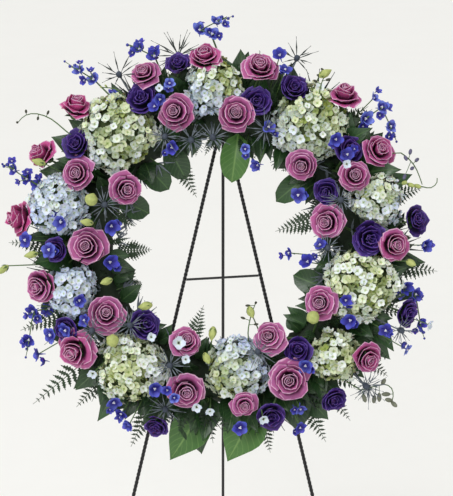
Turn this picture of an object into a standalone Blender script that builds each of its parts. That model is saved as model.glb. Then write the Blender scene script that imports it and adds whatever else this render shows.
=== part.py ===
"""Round standing funeral wreath of fresh flowers, hung on a folding wire easel.

Metres, +Z up. The easel leans back from the viewer at -Y. The origin is on the floor under the
middle of the whole object. Lists below are in millimetres in the plane of the wreath: across to
the right, up along the lean, and out towards the viewer from the axes of the front legs.
"""

import math
import random

import bmesh
import bpy
from mathutils import Matrix, Vector

MM = 0.001

# Easel
LEAN = math.radians(15.0)
SPLAY = math.radians(13.3)
LEG_LENGTH = 1220.0
LEG_R = 3.2
LEG_SIDES = 8
FOOT_Y = 330.0
REAR_LEG_R = 3.0
BAR_R = 2.2
BAR_DROP = 300.0
BAR_TILT = 8.0
GAP = 0.3
HEAD_HALF_WIDTH = 14.0
HEAD_TOP = 14.0
HEAD_BOTTOM = 16.0
HEAD_FRONT = 3.2
HEAD_BACK = -8.0
EAR_INNER = 5.0
EAR_OUTER = 9.0
EAR_BACK = -21.0
EAR_HALF_HEIGHT = 7.0
PIVOT_OUT = -14.0
PIN_R = 3.0
PIN_HOLE_R = 3.3
PIN_HEAD_R = 4.6
PIN_HEAD_LENGTH = 1.6
EYE_R = 5.6
EYE_HOLE_R = 3.4
TONGUE_HALF_WIDTH = 5.0
TONGUE_END = 44.0
PEG_R = 2.6
PEG_END = 18.0
BAR_SIDES = 6
ROUND_SIDES = 12
SINK = 1.0

# Where the wreath hangs on it
WREATH_DROP = 243.0
IN_PLANE_LEG = LEG_LENGTH * math.cos(SPLAY)
APEX_Z = IN_PLANE_LEG * math.cos(LEAN)
APEX_Y = IN_PLANE_LEG * math.sin(LEAN) - FOOT_Y
CENTRE_Y = APEX_Y - WREATH_DROP * math.sin(LEAN)
CENTRE_Z = APEX_Z - WREATH_DROP * math.cos(LEAN)

# Tray, foam and greenery, all turned rings
RING_STEPS = 30
MID_R = 245.0
TRAY_INNER_R = 208.0
TRAY_OUTER_R = 282.0
TRAY_WALL = 2.0
TRAY_BACK = LEG_R + GAP
TRAY_FRONT = 20.0
FOAM_SHOULDER = 30.0
FOAM_TOP = 41.0
FOAM_TOP_HALF = 20.0
BED_GAP = 0.5
BED_THICK = 7.0
BED_FOOT = 22.0
BED_MARGIN = 0.1
HUMP = 2.5
HUMP_SPREAD = 45.0
BED_JOINTS = (0, 60, 96, 168, 240, 288)

# Stems
STEM_R = 2.5
STEM_SIDES = 5
HOLE_SIDES = 4
HOLE_R = 4.2
STEM_FOOT = 25.0
ROSE_KNEE = 70.0
LISIANTHUS_KNEE = 63.0
LOW_KNEE = 55.0
HOLE_TOP = 62.0
STEM_WAY = 5.0
WAY_SIDES = 4
STEM_SPACING = 6.5
FOOT_SPACING = 10.0
FOOT_TRIES = 61
FOOT_FOLLOW = 0.22
FOOT_FOLLOW_MAX = 90.0
PATH_STEP = 3.0
UNDER_BLOOM = 6

# The dome of the blooms over the ring
DOME_R = 247.0
DOME_HALF = 135.0
DOME_BASE = 60.0
DOME_RISE = 58.0
LISIANTHUS_DROP = 12.0
TURN = 0.75
CLEARANCE = 3.5
BALL_SINK = 0.3
BALL_FULL = 1.1

# Across, up, radius. A third of them face another way than the dome does.
ROSES = (
    (-32, 351, 31), (70, 329, 32), (-144, 319, 27), (220, 277, 30), (-266, 257, 28),
    (-85, 243, 31), (23, 238, 31), (-331, 171, 28), (286, 176, 31), (-265, 133, 29),
    (140, 146, 27), (238, 128, 28), (-173, 103, 29), (-374, 52, 32), (187, 45, 32),
    (-243, 0, 34), (311, 5, 31), (-335, -72, 31), (-209, -121, 32), (173, -97, 28),
    (-270, -189, 34), (-65, -169, 27), (81, -157, 29), (265, -203, 27), (-67, -259, 32),
    (122, -241, 36), (38, -284, 23),
)
ROSE_FACINGS = {3: (0.1, 0.8, 0.6), 4: (0.2, 0.75, 0.6), 7: (-0.6, 0.45, 0.65), 13: (-0.85, 0.1, 0.5)}
ROSE_STEMS = (
    (0, 5), (1, 6), (2, 4), (3, 8), (7, 9), (10, 11), (12, 15),
    (13, 17), (18, 20), (21, 24), (22, 19), (25, 26), (14, 16), (23,),
)
LISIANTHUS = (
    (-83, 333, 24), (-148, 268, 31), (61, 265, 27), (130, 288, 28), (-268, 187, 27),
    (229, 178, 26), (187, 99, 24), (-302, -5, 22), (265, 16, 32), (355, 49, 27),
    (-286, -149, 22), (-140, -139, 28), (337, -122, 25), (135, -187, 25), (-122, -329, 24),
    (88, -308, 27), (203, -279, 26),
)
LISIANTHUS_STEMS = ((0, 1), (2, 3), (4,), (5, 6), (8, 9), (7,), (10, 11), (12,), (14,), (16, 15, 13))
HYDRANGEAS = (
    (-193, 207, 70), (-18, 290, 52), (160, 225, 70), (-299, 76, 55), (279, 85, 48),
    (-275, -79, 46), (250, -68, 68), (-167, -218, 62), (25, -222, 56), (203, -198, 46),
)
HYDRANGEA_OUT = 76.0
HYDRANGEA_UP = 43.0
HYDRANGEA_DOWN = 12.0
FLORET_PEAK = 1.05
FLORET_VALLEY = 0.88

# Sprays: the florets' across, up and out, from the lowest on the stem to its tip
DELPHINIUMS = (
    ((-198, 268, 62), (-236, 306, 60), (-262, 322, 56)),
    ((-124, 346, 74), (-152, 360, 66)),
    ((-20, 388, 62), (-43, 396, 58), (-12, 412, 54)),
    ((258, 232, 80), (288, 254, 74), (306, 220, 62)),
    ((-336, 112, 60), (-358, 124, 56), (-382, 140, 50)),
    ((-318, -112, 52), (-348, -118, 50), (-356, -170, 46)),
    ((330, -72, 70), (352, -86, 56), (362, -138, 46)),
)
FLORET_R = 15.0
FLORET_FRONT = 3.5
FLORET_BACK = 4.5
THISTLES = ((-188, 312, 70), (134, 342, 66), (-18, 196, 96), (262, -254, 78), (-104, -292, 84))
THISTLE_CORE_R = 7.0
THISTLE_NEEDLE = 38.0
THISTLE_NEEDLES = 8
NEEDLE_R = 1.9

# Fern fronds: across, up and out of the tip, and the width
FRONDS = (
    (-353, -292, 14, 40), (-398, 8, 14, 38), (-376, -155, 14, 38), (-272, -297, 16, 36),
    (-171, -371, 14, 38), (88, -382, 14, 36), (191, -362, 14, 40), (236, -322, 18, 34),
    (306, -240, 14, 38), (398, -45, 14, 42), (-49, 92, 16, 34), (97, 29, 20, 40),
    (-132, -5, 18, 36), (-150, -66, 18, 34), (-36, -108, 18, 32), (370, 110, 14, 38),
)
FROND_PAIRS = 6
FROND_STALK = 0.28
RIB_HALF_WIDTH = 1.6
RIB_HALF_THICK = 1.0
BLADE_ROOT_OFF = 34.0
BLADE_ROOT_OUT = 37.0
BLADE_ARCH = 10.0
# Broad leaves, the same way
LEAVES = (
    (-136, 62, 24, 46), (-100, 106, 26, 48), (-68, 124, 34, 46), (16, 119, 26, 54),
    (98, 84, 26, 44), (130, -52, 24, 46), (372, -28, 40, 44), (-64, -398, 22, 80),
    (34, -397, 26, 72), (-232, -322, 26, 46), (-276, -262, 28, 42), (124, -124, 24, 44),
    (350, 134, 26, 42),
)
LEAF_HALF_THICK = 1.3
LEAF_WAVE = 4.0
SKIRT_STEP = 18
SKIRT_OUTER = 66.0
SKIRT_INNER = 52.0
SKIRT_OUT = 20.0
SKIRT_WIDTH = 44.0
SKIRT_CLEAR = 11.0
JOINT_CLEAR = 6.0

SCENE = bpy.context.scene


def clear_scene():
    for thing in list(bpy.data.objects):
        bpy.data.objects.remove(thing)


def material(name, colour, roughness, metallic=0.0):
    """One finish with its own colour."""
    finish = bpy.data.materials.new(name)
    finish.use_nodes = True
    shader = finish.node_tree.nodes["Principled BSDF"]
    shader.inputs["Base Color"].default_value = (*colour, 1.0)
    shader.inputs["Roughness"].default_value = roughness
    shader.inputs["Metallic"].default_value = metallic
    return finish


def empty(name, location, tilt=0.0):
    """A frame that pieces are placed by, tilted about X."""
    frame = bpy.data.objects.new(name, None)
    frame.location = Vector(location) * MM
    frame.rotation_euler = (tilt, 0.0, 0.0)
    SCENE.collection.objects.link(frame)
    return frame


# Solids from rings


def ring(centre, axis, start, radii):
    """Points round an axis, one for each radius, beginning on the side that start points to."""
    first = (start - axis * start.dot(axis)).normalized()
    second = axis.cross(first)
    angles = [2 * math.pi * k / len(radii) for k in range(len(radii))]
    return [
        centre + (first * math.cos(a) + second * math.sin(a)) * radius
        for a, radius in zip(angles, radii)
    ]


def between_rings(small, large):
    """Faces between two rings of numbered points, the second with as many points or twice as many."""
    count = len(small)
    faces = []
    for k in range(count):
        after = (k + 1) % count
        if len(large) == count:
            faces.append((small[k], small[after], large[after], large[k]))
            continue
        middle = large[2 * k + 1]
        faces.append((small[k], middle, large[2 * k]))
        faces.append((small[k], small[after], middle))
        faces.append((small[after], large[(2 * k + 2) % len(large)], middle))
    return faces


def shell(rings):
    """Points and faces of a closed solid through rings of points, where a ring may be one point."""
    points = [point for loop in rings for point in loop]
    numbers = []
    for loop in rings:
        start = sum(len(n) for n in numbers)
        numbers.append(list(range(start, start + len(loop))))
    faces = []
    for before, after in zip(numbers, numbers[1:]):
        if len(before) == 1 or len(after) == 1:
            tip, loop = (before, after) if len(before) == 1 else (after, before)
            faces += [(tip[0], loop[k], loop[(k + 1) % len(loop)]) for k in range(len(loop))]
        else:
            faces += between_rings(*sorted((before, after), key=len))
    faces += [tuple(loop) for loop in (numbers[0], numbers[-1]) if len(loop) > 1]
    return points, faces


def tidy(mesh):
    """Triangles only, pointing outwards, without the scraps that a cut leaves."""
    work = bmesh.new()
    work.from_mesh(mesh)
    bmesh.ops.remove_doubles(work, verts=work.verts, dist=1e-6)
    bmesh.ops.dissolve_degenerate(work, edges=work.edges, dist=1e-6)
    bodies = []
    waiting = set(work.verts)
    while waiting:
        body = {waiting.pop()}
        growing = list(body)
        while growing:
            vert = growing.pop()
            found = {edge.other_vert(vert) for edge in vert.link_edges} & waiting
            waiting -= found
            body |= found
            growing += found
        bodies.append(body)
    bodies.sort(key=len)
    for scrap in bodies[:-1]:
        bmesh.ops.delete(work, geom=list(scrap), context="VERTS")
    bmesh.ops.triangulate(work, faces=work.faces)
    bmesh.ops.recalc_face_normals(work, faces=work.faces)
    work.to_mesh(mesh)
    work.free()


def solid(name, shape):
    """An object from points in millimetres and faces."""
    points, faces = shape
    mesh = bpy.data.meshes.new(name)
    mesh.from_pydata([point * MM for point in points], [], faces)
    tidy(mesh)
    thing = bpy.data.objects.new(name, mesh)
    SCENE.collection.objects.link(thing)
    return thing


def combine(target, tools, operation, solver="EXACT"):
    """Join the tools to a solid or cut them out of it, and remove them."""
    if not tools:
        return
    group = bpy.data.collections.new("tools")
    SCENE.collection.children.link(group)
    for tool in tools:
        SCENE.collection.objects.unlink(tool)
        group.objects.link(tool)
    boolean = target.modifiers.new("tools", "BOOLEAN")
    boolean.operation = operation
    boolean.operand_type = "COLLECTION"
    boolean.collection = group
    boolean.solver = solver
    graph = bpy.context.evaluated_depsgraph_get()
    result = bpy.data.meshes.new_from_object(target.evaluated_get(graph))
    target.modifiers.remove(boolean)
    target.data = result
    tidy(result)
    for tool in tools:
        bpy.data.objects.remove(tool)
    bpy.data.collections.remove(group)


def finish(thing, look, parent):
    """Give a finished solid its material and its place."""
    thing.data.materials.clear()
    thing.data.materials.append(look)
    thing.parent = parent


def vec(*numbers):
    return Vector(numbers)


def block(low, high):
    """A box between two corners."""
    (x0, y0, z0), (x1, y1, z1) = low, high
    corners = ((x0, y0), (x1, y0), (x1, y1), (x0, y1))
    return shell([[vec(x, y, z) for x, y in corners] for z in (z0, z1)])


def onto_plane(point, direction, plane):
    """Slide a point along a direction to a plane, given as a point on it and its normal."""
    origin, normal = plane
    return point + direction * ((origin - point).dot(normal) / direction.dot(normal))


def rod(start, end, radius, sides, start_plane=None, end_plane=None):
    """A straight bar, its ends square or cut along a plane."""
    axis = (end - start).normalized()
    side = vec(1, 0, 0) if abs(axis.x) < 0.9 else vec(0, 1, 0)
    planes = (start_plane or (start, axis), end_plane or (end, axis))
    around = ring(start, axis, side, [radius] * sides)
    return shell([[onto_plane(point, axis, plane) for point in around] for plane in planes])


# Easel, in the plane of the wreath


def leg_line(side):
    """A front leg's top and foot on its axis."""
    apex = vec(0, WREATH_DROP, 0)
    foot = apex + vec(side * LEG_LENGTH * math.sin(SPLAY), -IN_PLANE_LEG, 0)
    return apex, foot


def floor_plane():
    """The floor as the tilted frame sees it."""
    normal = vec(0, math.cos(LEAN), math.sin(LEAN))
    return normal * -CENTRE_Z, normal


def build_front_legs(look, frame):
    top = vec(0, WREATH_DROP - HEAD_BOTTOM, 0), vec(0, 1, 0)
    for side, name in ((-1, "front_leg_left"), (1, "front_leg_right")):
        apex, foot = leg_line(side)
        leg = solid(name, rod(apex, foot, LEG_R, LEG_SIDES, top, floor_plane()))
        finish(leg, look, frame)


def build_crossbar(look, frame):
    """The bar between the front legs, bent a little off level by hand."""
    ends = []
    planes = []
    for side in (-1, 1):
        apex, foot = leg_line(side)
        along = (foot - apex).normalized()
        drop = BAR_DROP - side * BAR_TILT / 2
        inward = vec(-side * math.cos(SPLAY), -math.sin(SPLAY), 0)
        ends.append(apex + along * (drop / math.cos(SPLAY)))
        planes.append((ends[-1] + inward * (LEG_R + GAP), inward))
    bar = solid("crossbar", rod(*ends, BAR_R, BAR_SIDES, *planes))
    finish(bar, look, frame)


def build_head(look, frame):
    """The block at the top, with two ears for the rear leg and a peg that the wreath hangs on."""
    pivot_up = WREATH_DROP
    low = WREATH_DROP - HEAD_BOTTOM + GAP
    head = solid("easel_head", block(
        (-HEAD_HALF_WIDTH, low, HEAD_BACK), (HEAD_HALF_WIDTH, WREATH_DROP + HEAD_TOP, HEAD_FRONT)))
    extras = [
        solid("ear", block(
            (min(side * EAR_INNER, side * EAR_OUTER), pivot_up - EAR_HALF_HEIGHT, EAR_BACK),
            (max(side * EAR_INNER, side * EAR_OUTER), pivot_up + EAR_HALF_HEIGHT, HEAD_BACK + SINK)))
        for side in (-1, 1)
    ]
    tongue_low = WREATH_DROP - TONGUE_END
    extras.append(solid("tongue", block(
        (-TONGUE_HALF_WIDTH, tongue_low, HEAD_BACK), (TONGUE_HALF_WIDTH, low + SINK, -LEG_R - GAP))))
    peg_up = TRAY_INNER_R * math.cos(math.pi / RING_STEPS) - GAP - PEG_R
    peg = vec(0, peg_up, HEAD_BACK + SINK)
    extras.append(solid("peg", rod(peg, vec(0, peg_up, PEG_END), PEG_R, LEG_SIDES)))
    combine(head, extras, "UNION")
    ends = [vec(across, pivot_up, PIVOT_OUT) for across in (-2 * EAR_OUTER, 2 * EAR_OUTER)]
    combine(head, [solid("hole", rod(*ends, PIN_HOLE_R, ROUND_SIDES))], "DIFFERENCE")
    finish(head, look, frame)


def build_pin(look, frame):
    """The rivet through the ears, with a head at each end."""
    face = EAR_OUTER + GAP
    outer = face + PIN_HEAD_LENGTH
    stations = ((-outer, PIN_HEAD_R), (-face, PIN_HEAD_R), (-face, PIN_R), (face, PIN_R),
                (face, PIN_HEAD_R), (outer, PIN_HEAD_R))
    rings = [
        ring(vec(across, WREATH_DROP, PIVOT_OUT), vec(1, 0, 0), vec(0, 1, 0), [radius] * ROUND_SIDES)
        for across, radius in stations
    ]
    finish(solid("pivot_pin", shell(rings)), look, frame)


def build_rear_leg(look):
    """The folding leg, placed by the rivet's axis, with a heel that stops it when it is open."""
    pivot = vec(0, APEX_Y - PIVOT_OUT * math.cos(LEAN), APEX_Z + PIVOT_OUT * math.sin(LEAN))
    frame = empty("rear_pivot", pivot)
    foot = vec(0, FOOT_Y - pivot.y, -pivot.z)
    along = foot.normalized()
    opening = LEAN + math.atan2(foot.y, -foot.z)
    free = HEAD_BACK - GAP - PIVOT_OUT
    heel = (free - REAR_LEG_R * math.cos(opening)) / math.sin(opening)
    floor = foot, vec(0, 0, 1)
    leg = solid("rear_leg", rod(along * -heel, foot, REAR_LEG_R, LEG_SIDES, None, floor))
    half = EAR_INNER - GAP
    eye = solid("eye", rod(vec(-half, 0, 0), vec(half, 0, 0), EYE_R, ROUND_SIDES))
    combine(leg, [eye], "UNION")
    hole = solid("hole", rod(vec(-2 * half, 0, 0), vec(2 * half, 0, 0), EYE_HOLE_R, ROUND_SIDES))
    combine(leg, [hole], "DIFFERENCE")
    finish(leg, look, frame)


# Tray, foam and beds of greenery


def around(radius, degrees, out):
    """A point of a turned ring, on the flats between its corners."""
    step = 360 / RING_STEPS
    off_middle = math.radians(degrees % step - step / 2)
    flat = radius * math.cos(math.radians(step / 2)) / math.cos(off_middle)
    turn = math.radians(degrees)
    return vec(flat * math.cos(turn), flat * math.sin(turn), out)


def turned(profile):
    """A closed ring of the given section."""
    count = len(profile)
    angles = [360 / RING_STEPS * k for k in range(RING_STEPS)]
    points = [around(radius, angle, out) for angle in angles for radius, out in profile]
    faces = []
    for k in range(RING_STEPS):
        here = k * count
        there = (k + 1) % RING_STEPS * count
        for i in range(count):
            j = (i + 1) % count
            faces.append((here + i, there + i, there + j, here + j))
    return points, faces


def build_tray(look, frame):
    inner = TRAY_INNER_R + TRAY_WALL
    outer = TRAY_OUTER_R - TRAY_WALL
    floor = TRAY_BACK + TRAY_WALL
    tray = solid("foam_tray", turned((
        (TRAY_OUTER_R, TRAY_BACK), (TRAY_OUTER_R, TRAY_FRONT), (outer, TRAY_FRONT), (outer, floor),
        (inner, floor), (inner, TRAY_FRONT), (TRAY_INNER_R, TRAY_FRONT), (TRAY_INNER_R, TRAY_BACK))))
    finish(tray, look, frame)


def foam_outline(grow):
    """The foam's section above the tray, from its outer side over the top, grown by a distance."""
    outer = TRAY_OUTER_R - TRAY_WALL - GAP + grow
    inner = TRAY_INNER_R + TRAY_WALL + GAP - grow
    shoulder = FOAM_SHOULDER + grow * 0.5
    top = FOAM_TOP + grow
    half = FOAM_TOP_HALF + grow * 0.5
    return [(outer, shoulder), (MID_R + half, top), (MID_R - half, top), (inner, shoulder)]


def build_foam(look, frame, feet):
    upper = foam_outline(0.0)
    low = TRAY_BACK + TRAY_WALL + GAP
    foam = solid("foam_ring", turned([(upper[0][0], low), *upper, (upper[-1][0], low)]))
    combine(foam, hole_cutters(feet), "DIFFERENCE", "MANIFOLD")
    finish(foam, look, frame)


def hole_cutters(feet):
    """Plain holes for the stems, from their feet up past the greenery."""
    low = STEM_FOOT - GAP
    return [
        solid("hole", rod(vec(*foot, low), vec(*foot, HOLE_TOP), HOLE_R, HOLE_SIDES))
        for foot in feet
    ]


def bed_shape(start, end):
    """A length of leafy cover over the foam, its outer face in overlapping humps."""
    inside = foam_outline(BED_GAP)
    inside = [(inside[0][0], BED_FOOT), *inside, (inside[-1][0], BED_FOOT)]
    outside = foam_outline(BED_THICK)
    outside = [(outside[0][0] + 1, BED_FOOT), *outside, (outside[-1][0] - 1, BED_FOOT)]
    step = 360 / RING_STEPS
    turns = [start + step * k for k in range(int((end - start) / step) + 1)]
    turns[0] += BED_MARGIN
    turns[-1] -= BED_MARGIN
    rings = []
    for k, turn in enumerate(turns):
        loop = [around(radius, turn, out) for radius, out in inside]
        for i, (radius, out) in enumerate(reversed(outside)):
            hump = HUMP * ((k + i) % 2) if 0 < i < len(outside) - 1 else 0.0
            loop.append(around(radius + hump * (radius - MID_R) / HUMP_SPREAD, turn, out + hump))
        rings.append(loop)
    return shell(rings)


def blade_path(tip, stations):
    """Points from inside the bed out to a tip, arched forwards, and the ways along and across."""
    radius = math.hypot(tip.x, tip.y)
    outward = 1 if radius > MID_R else -1
    root_r = MID_R + outward * BLADE_ROOT_OFF
    turn = math.atan2(tip.y, tip.x)
    root = vec(root_r * math.cos(turn), root_r * math.sin(turn), BLADE_ROOT_OUT)
    crown = (root + tip) / 2 + vec(0, 0, BLADE_ARCH)
    points = [root * (1 - s) ** 2 + crown * 2 * s * (1 - s) + tip * s * s for s in stations]
    radial = vec(math.cos(turn), math.sin(turn), 0) * outward
    across = vec(-radial.y, radial.x, 0)
    return points, radial, across


def frond_shape(tip, width):
    """A fern frond: a thin arched blade whose leaflets are cut to the rib."""
    pairs = FROND_PAIRS
    stations = [0.0] + [FROND_STALK + (1 - FROND_STALK) * k / pairs for k in range(pairs + 1)]
    path, radial, across = blade_path(tip, stations)
    rise = vec(0, 0, RIB_HALF_THICK)
    rib = across * RIB_HALF_WIDTH
    points = []
    for point in path[:-1]:
        points += [point + rise, point + rib, point - rise, point - rib]
    faces = [(0, 3, 2, 1)]
    for side in (1, 3):
        faces += [(0, side, 4 + side, 4), (2, 6, 4 + side, side)]
    end = len(points)
    points.append(path[-1])
    for k in range(pairs):
        here = 4 * (k + 1)
        last = k == pairs - 1
        spread = width / 2 * math.sin(math.pi * (0.35 + 0.6 * k / pairs)) * (1.1 - 0.75 * k / pairs)
        for side, way in ((1, 1), (3, -1)):
            sweep = radial * spread * 0.55
            leaflet = len(points)
            points.append(path[k + 1] + across * way * spread + sweep + vec(0, 0, -spread * 0.12))
            above, notch, below = here, here + side, here + 2
            next_above = end if last else here + 4
            next_notch = end if last else here + 4 + side
            next_below = end if last else here + 6
            faces += [(above, notch, leaflet), (above, leaflet, next_above)]
            faces += [(below, leaflet, notch), (below, next_below, leaflet)]
            if not last:
                faces += [(next_above, leaflet, next_notch), (next_below, next_notch, leaflet)]
    return points, faces


BROAD = ((0.0, 0.3), (0.3, 0.8), (0.55, 1.0), (0.8, 0.75), (1.0, 0.0))
PLAIN = ((0.0, 0.5), (0.6, 1.0), (1.0, 0.0))


def leaf_shape(tip, width, outline=BROAD):
    """A pointed leaf, thick at its rib, with a waved edge."""
    stations, spreads = zip(*outline)
    path, _, across = blade_path(tip, stations)
    rings = []
    for k, (point, spread) in enumerate(zip(path, spreads)):
        if not spread:
            rings.append([point])
            continue
        side = across * width / 2 * spread
        wave = vec(0, 0, LEAF_WAVE * (1.5 if k % 2 else 0.5)) * spread
        thick = vec(0, 0, LEAF_HALF_THICK)
        rings.append([point + side + wave, point + thick, point - side + wave, point - thick])
    return shell(rings)


def tips_of(blades):
    return [(vec(across, up, out), width) for across, up, out, width in blades]


def skirt_tips():
    """Tips of the plain leaves that fill in round both flanks, clear of the large leaves."""
    taken = [vec(tip.x, tip.y, 0) for tip, _ in tips_of(LEAVES)]
    tips = []
    for k in range(360 // SKIRT_STEP):
        for edge, way, length in ((TRAY_OUTER_R, 1, SKIRT_OUTER), (TRAY_INNER_R, -1, SKIRT_INNER)):
            degrees = SKIRT_STEP * (k + 0.5)
            turn = math.radians(degrees)
            direction = vec(math.cos(turn), math.sin(turn), 0)
            near_joint = min(abs((degrees - joint + 180) % 360 - 180) for joint in BED_JOINTS)
            beside = [
                abs(math.degrees(direction.angle(tip))) for tip in taken
                if (tip.length > MID_R) == (way > 0)
            ]
            if near_joint > JOINT_CLEAR and min(beside) > SKIRT_CLEAR and (way > 0 or k % 2):
                length *= 1.0 + 0.15 * math.sin(5 * k)
                tips.append(direction * (edge + way * length) + vec(0, 0, SKIRT_OUT + 4 * math.cos(3 * k)))
    return tips


def in_bed(point, start, end):
    degrees = math.degrees(math.atan2(point.y, point.x)) % 360
    return start < degrees < end


def build_beds(look, frame, feet):
    """Greenery over the foam: fern fronds and leaves that grow out of one leafy cover."""
    blades = [(tip, frond_shape(tip, width)) for tip, width in tips_of(FRONDS)]
    blades += [(tip, leaf_shape(tip, width)) for tip, width in tips_of(LEAVES)]
    blades += [(tip, leaf_shape(tip, SKIRT_WIDTH, PLAIN)) for tip in skirt_tips()]
    ends = BED_JOINTS[1:] + (360,)
    for number, (start, end) in enumerate(zip(BED_JOINTS, ends), 1):
        bed = solid(f"greenery_{number}", bed_shape(start, end))
        own = [solid("blade", shape) for tip, shape in blades if in_bed(tip, start, end)]
        combine(bed, own, "UNION", "MANIFOLD")
        here = [foot for foot in feet if in_bed(foot, start - 2, end + 2)]
        combine(bed, hole_cutters(here), "DIFFERENCE", "MANIFOLD")
        finish(bed, look, frame)


# Blooms


def dome_height(offset):
    """How far out the roses stand, by their distance from the middle of the ring."""
    share = min(1.0, abs(offset) / DOME_HALF)
    return DOME_BASE + DOME_RISE * math.sqrt(1 - share * share)


def place_bloom(across, up, radius, sink=0.0, facing=None):
    """A bloom's centre, the way it faces and its radius."""
    distance = math.hypot(across, up)
    offset = distance - DOME_R
    if facing is None:
        tilt = TURN * math.asin(max(-1.0, min(1.0, offset / DOME_HALF)))
        outward = vec(across, up, 0) / distance
        facing = outward * math.sin(tilt) + vec(0, 0, math.cos(tilt))
    else:
        facing = vec(*facing).normalized()
    return vec(across, up, dome_height(offset) - sink), facing, radius


def envelope(bloom):
    """The ball that a rose or lisianthus fills, as an obstacle for what yields to it."""
    centre, facing, radius = bloom
    return centre - facing * radius * BALL_SINK, vec(1, 1, 1) * radius * BALL_FULL


def reach(start, direction, obstacles):
    """Free distance along a direction before the first obstacle, each a centre and three radii."""
    free = math.inf
    for centre, radii in obstacles:
        grown = [r + CLEARANCE for r in radii]
        offset = vec(*((start - centre)[i] / grown[i] for i in range(3)))
        step = vec(*(direction[i] / grown[i] for i in range(3)))
        a, b, c = step.dot(step), offset.dot(step), offset.dot(offset) - 1
        root = b * b - a * c
        if c <= 0:
            return 0.0
        if b < 0 < root:
            free = min(free, (-b - math.sqrt(root)) / a)
    return free


def foot_of(starts, shift=0.0):
    """Where the stem of blooms that start at these points enters the foam."""
    middle = sum(starts, vec(0, 0, 0)) / len(starts)
    distance = math.hypot(middle.x, middle.y)
    radius = MID_R + FOOT_FOLLOW * max(-FOOT_FOLLOW_MAX, min(FOOT_FOLLOW_MAX, distance - DOME_R))
    turn = math.atan2(middle.y, middle.x) + math.radians(shift)
    return vec(radius * math.cos(turn), radius * math.sin(turn))


def stem_path(start, foot, knee, whole=True):
    """From under a bloom to the knee over its hole, and down to the foot for the whole stem."""
    path = [start, vec(*foot, knee)]
    return [*path, vec(*foot, STEM_FOOT)] if whole else path


def tube_rings(path, radius, side=None, sides=STEM_SIDES):
    """Rings round a bent stem, each turned on from the one before it."""
    rings = []
    for k, point in enumerate(path):
        before = (path[k] - path[k - 1]).normalized() if k else vec(0, 0, 0)
        after = (path[k + 1] - path[k]).normalized() if k + 1 < len(path) else vec(0, 0, 0)
        axis = -(before + after).normalized()
        rings.append(ring(point, axis, side or axis.orthogonal(), [radius] * sides))
        side = rings[-1][0] - point
    return rings


def lobes(count, radius, depth):
    """Radii of a ring of petals, every other point drawn in."""
    return [radius * (1 - depth * (k % 2)) for k in range(count)]


CALYX = 0.2
UPPER_HALF = -0.35
# Points round, radius and height of each ring, in the bloom's radius, and how far it is notched
ROSE_RINGS = (
    (1, 0.0, 0.06, 0.0), (5, 0.20, 0.05, 0.0), (5, 0.27, -0.16, 0.0), (10, 0.56, 0.03, 0.12),
    (10, 0.64, -0.20, 0.0), (10, 1.04, -0.10, 0.13), (10, 0.90, -0.48, 0.05), (5, 0.42, -0.94, 0.0),
)
LISIANTHUS_RINGS = (
    (1, 0.0, -0.18, 0.0), (5, 0.20, -0.32, 0.0), (10, 0.58, 0.04, 0.14), (10, 0.66, -0.22, 0.0),
    (10, 1.04, 0.0, 0.2), (5, 0.42, -0.8, 0.0),
)


ROSE = (ROSE_RINGS, ROSE_KNEE)
PURPLE = (LISIANTHUS_RINGS, LISIANTHUS_KNEE)


def under(bloom, section):
    """Where the stem meets the calyx."""
    centre, facing, radius = bloom
    return centre + facing * radius * (section[-1][2] - CALYX)


def bloom_shape(bloom, kind, foot, whole, obstacles):
    """A bloom in rings of petals, running on into its stem."""
    section, knee = kind
    centre, facing, radius = bloom
    side = vec(1, 0, 0) if abs(facing.x) < 0.8 else vec(0, 1, 0)
    middle, radii = envelope(bloom)
    rings = []
    for count, wide, high, notch in section:
        if count == 1:
            loop = [centre + facing * high * radius]
        else:
            loop = ring(centre + facing * high * radius, facing, side, lobes(count, wide * radius, notch))
        rings.append([squeeze(point, middle, radii[0], obstacles) for point in loop])
    rings += tube_rings(stem_path(under(bloom, section), foot, knee, whole), STEM_R, side)
    return shell(rings)


def squeeze(point, middle, full, obstacles):
    """Draw a point in towards the middle where an obstacle takes part of the room."""
    direction = (point - middle).normalized()
    return middle + (point - middle) * min(1.0, reach(middle, direction, obstacles) / full)


def bloom_node(name, blooms, kind, foot, obstacles, stems, look, frame):
    """One stem that forks to its blooms, which give way to the obstacles and to other stems."""
    shapes = [
        solid(name, bloom_shape(bloom, kind, foot, k == 0, obstacles))
        for k, bloom in enumerate(blooms)
    ]
    combine(shapes[0], shapes[1:], "UNION")
    cut_stems(shapes[0], blooms, stems)
    finish(shapes[0], look, frame)


def near_ball(path, centre, radius):
    """Whether a path comes inside a ball."""
    for start, end in zip(path, path[1:]):
        along = end - start
        share = max(0.0, min(1.0, (centre - start).dot(along) / along.length_squared))
        if (start + along * share - centre).length < radius:
            return True
    return False


def cut_stems(target, balls, stems):
    """Cut the way of every other stem that runs through these blooms, one by one as they overlap."""
    for path in stems:
        if any(near_ball(path, centre, radius * 1.3 + STEM_WAY) for centre, _, radius in balls):
            way = solid("way", shell(tube_rings(path, STEM_WAY, sides=WAY_SIDES)))
            combine(target, [way], "DIFFERENCE", "MANIFOLD")


def samples(path):
    """Points every few millimetres along a path."""
    points = []
    for start, end in zip(path, path[1:]):
        count = max(1, int((end - start).length / PATH_STEP))
        points += [start.lerp(end, k / count) for k in range(count + 1)]
    return points


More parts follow.
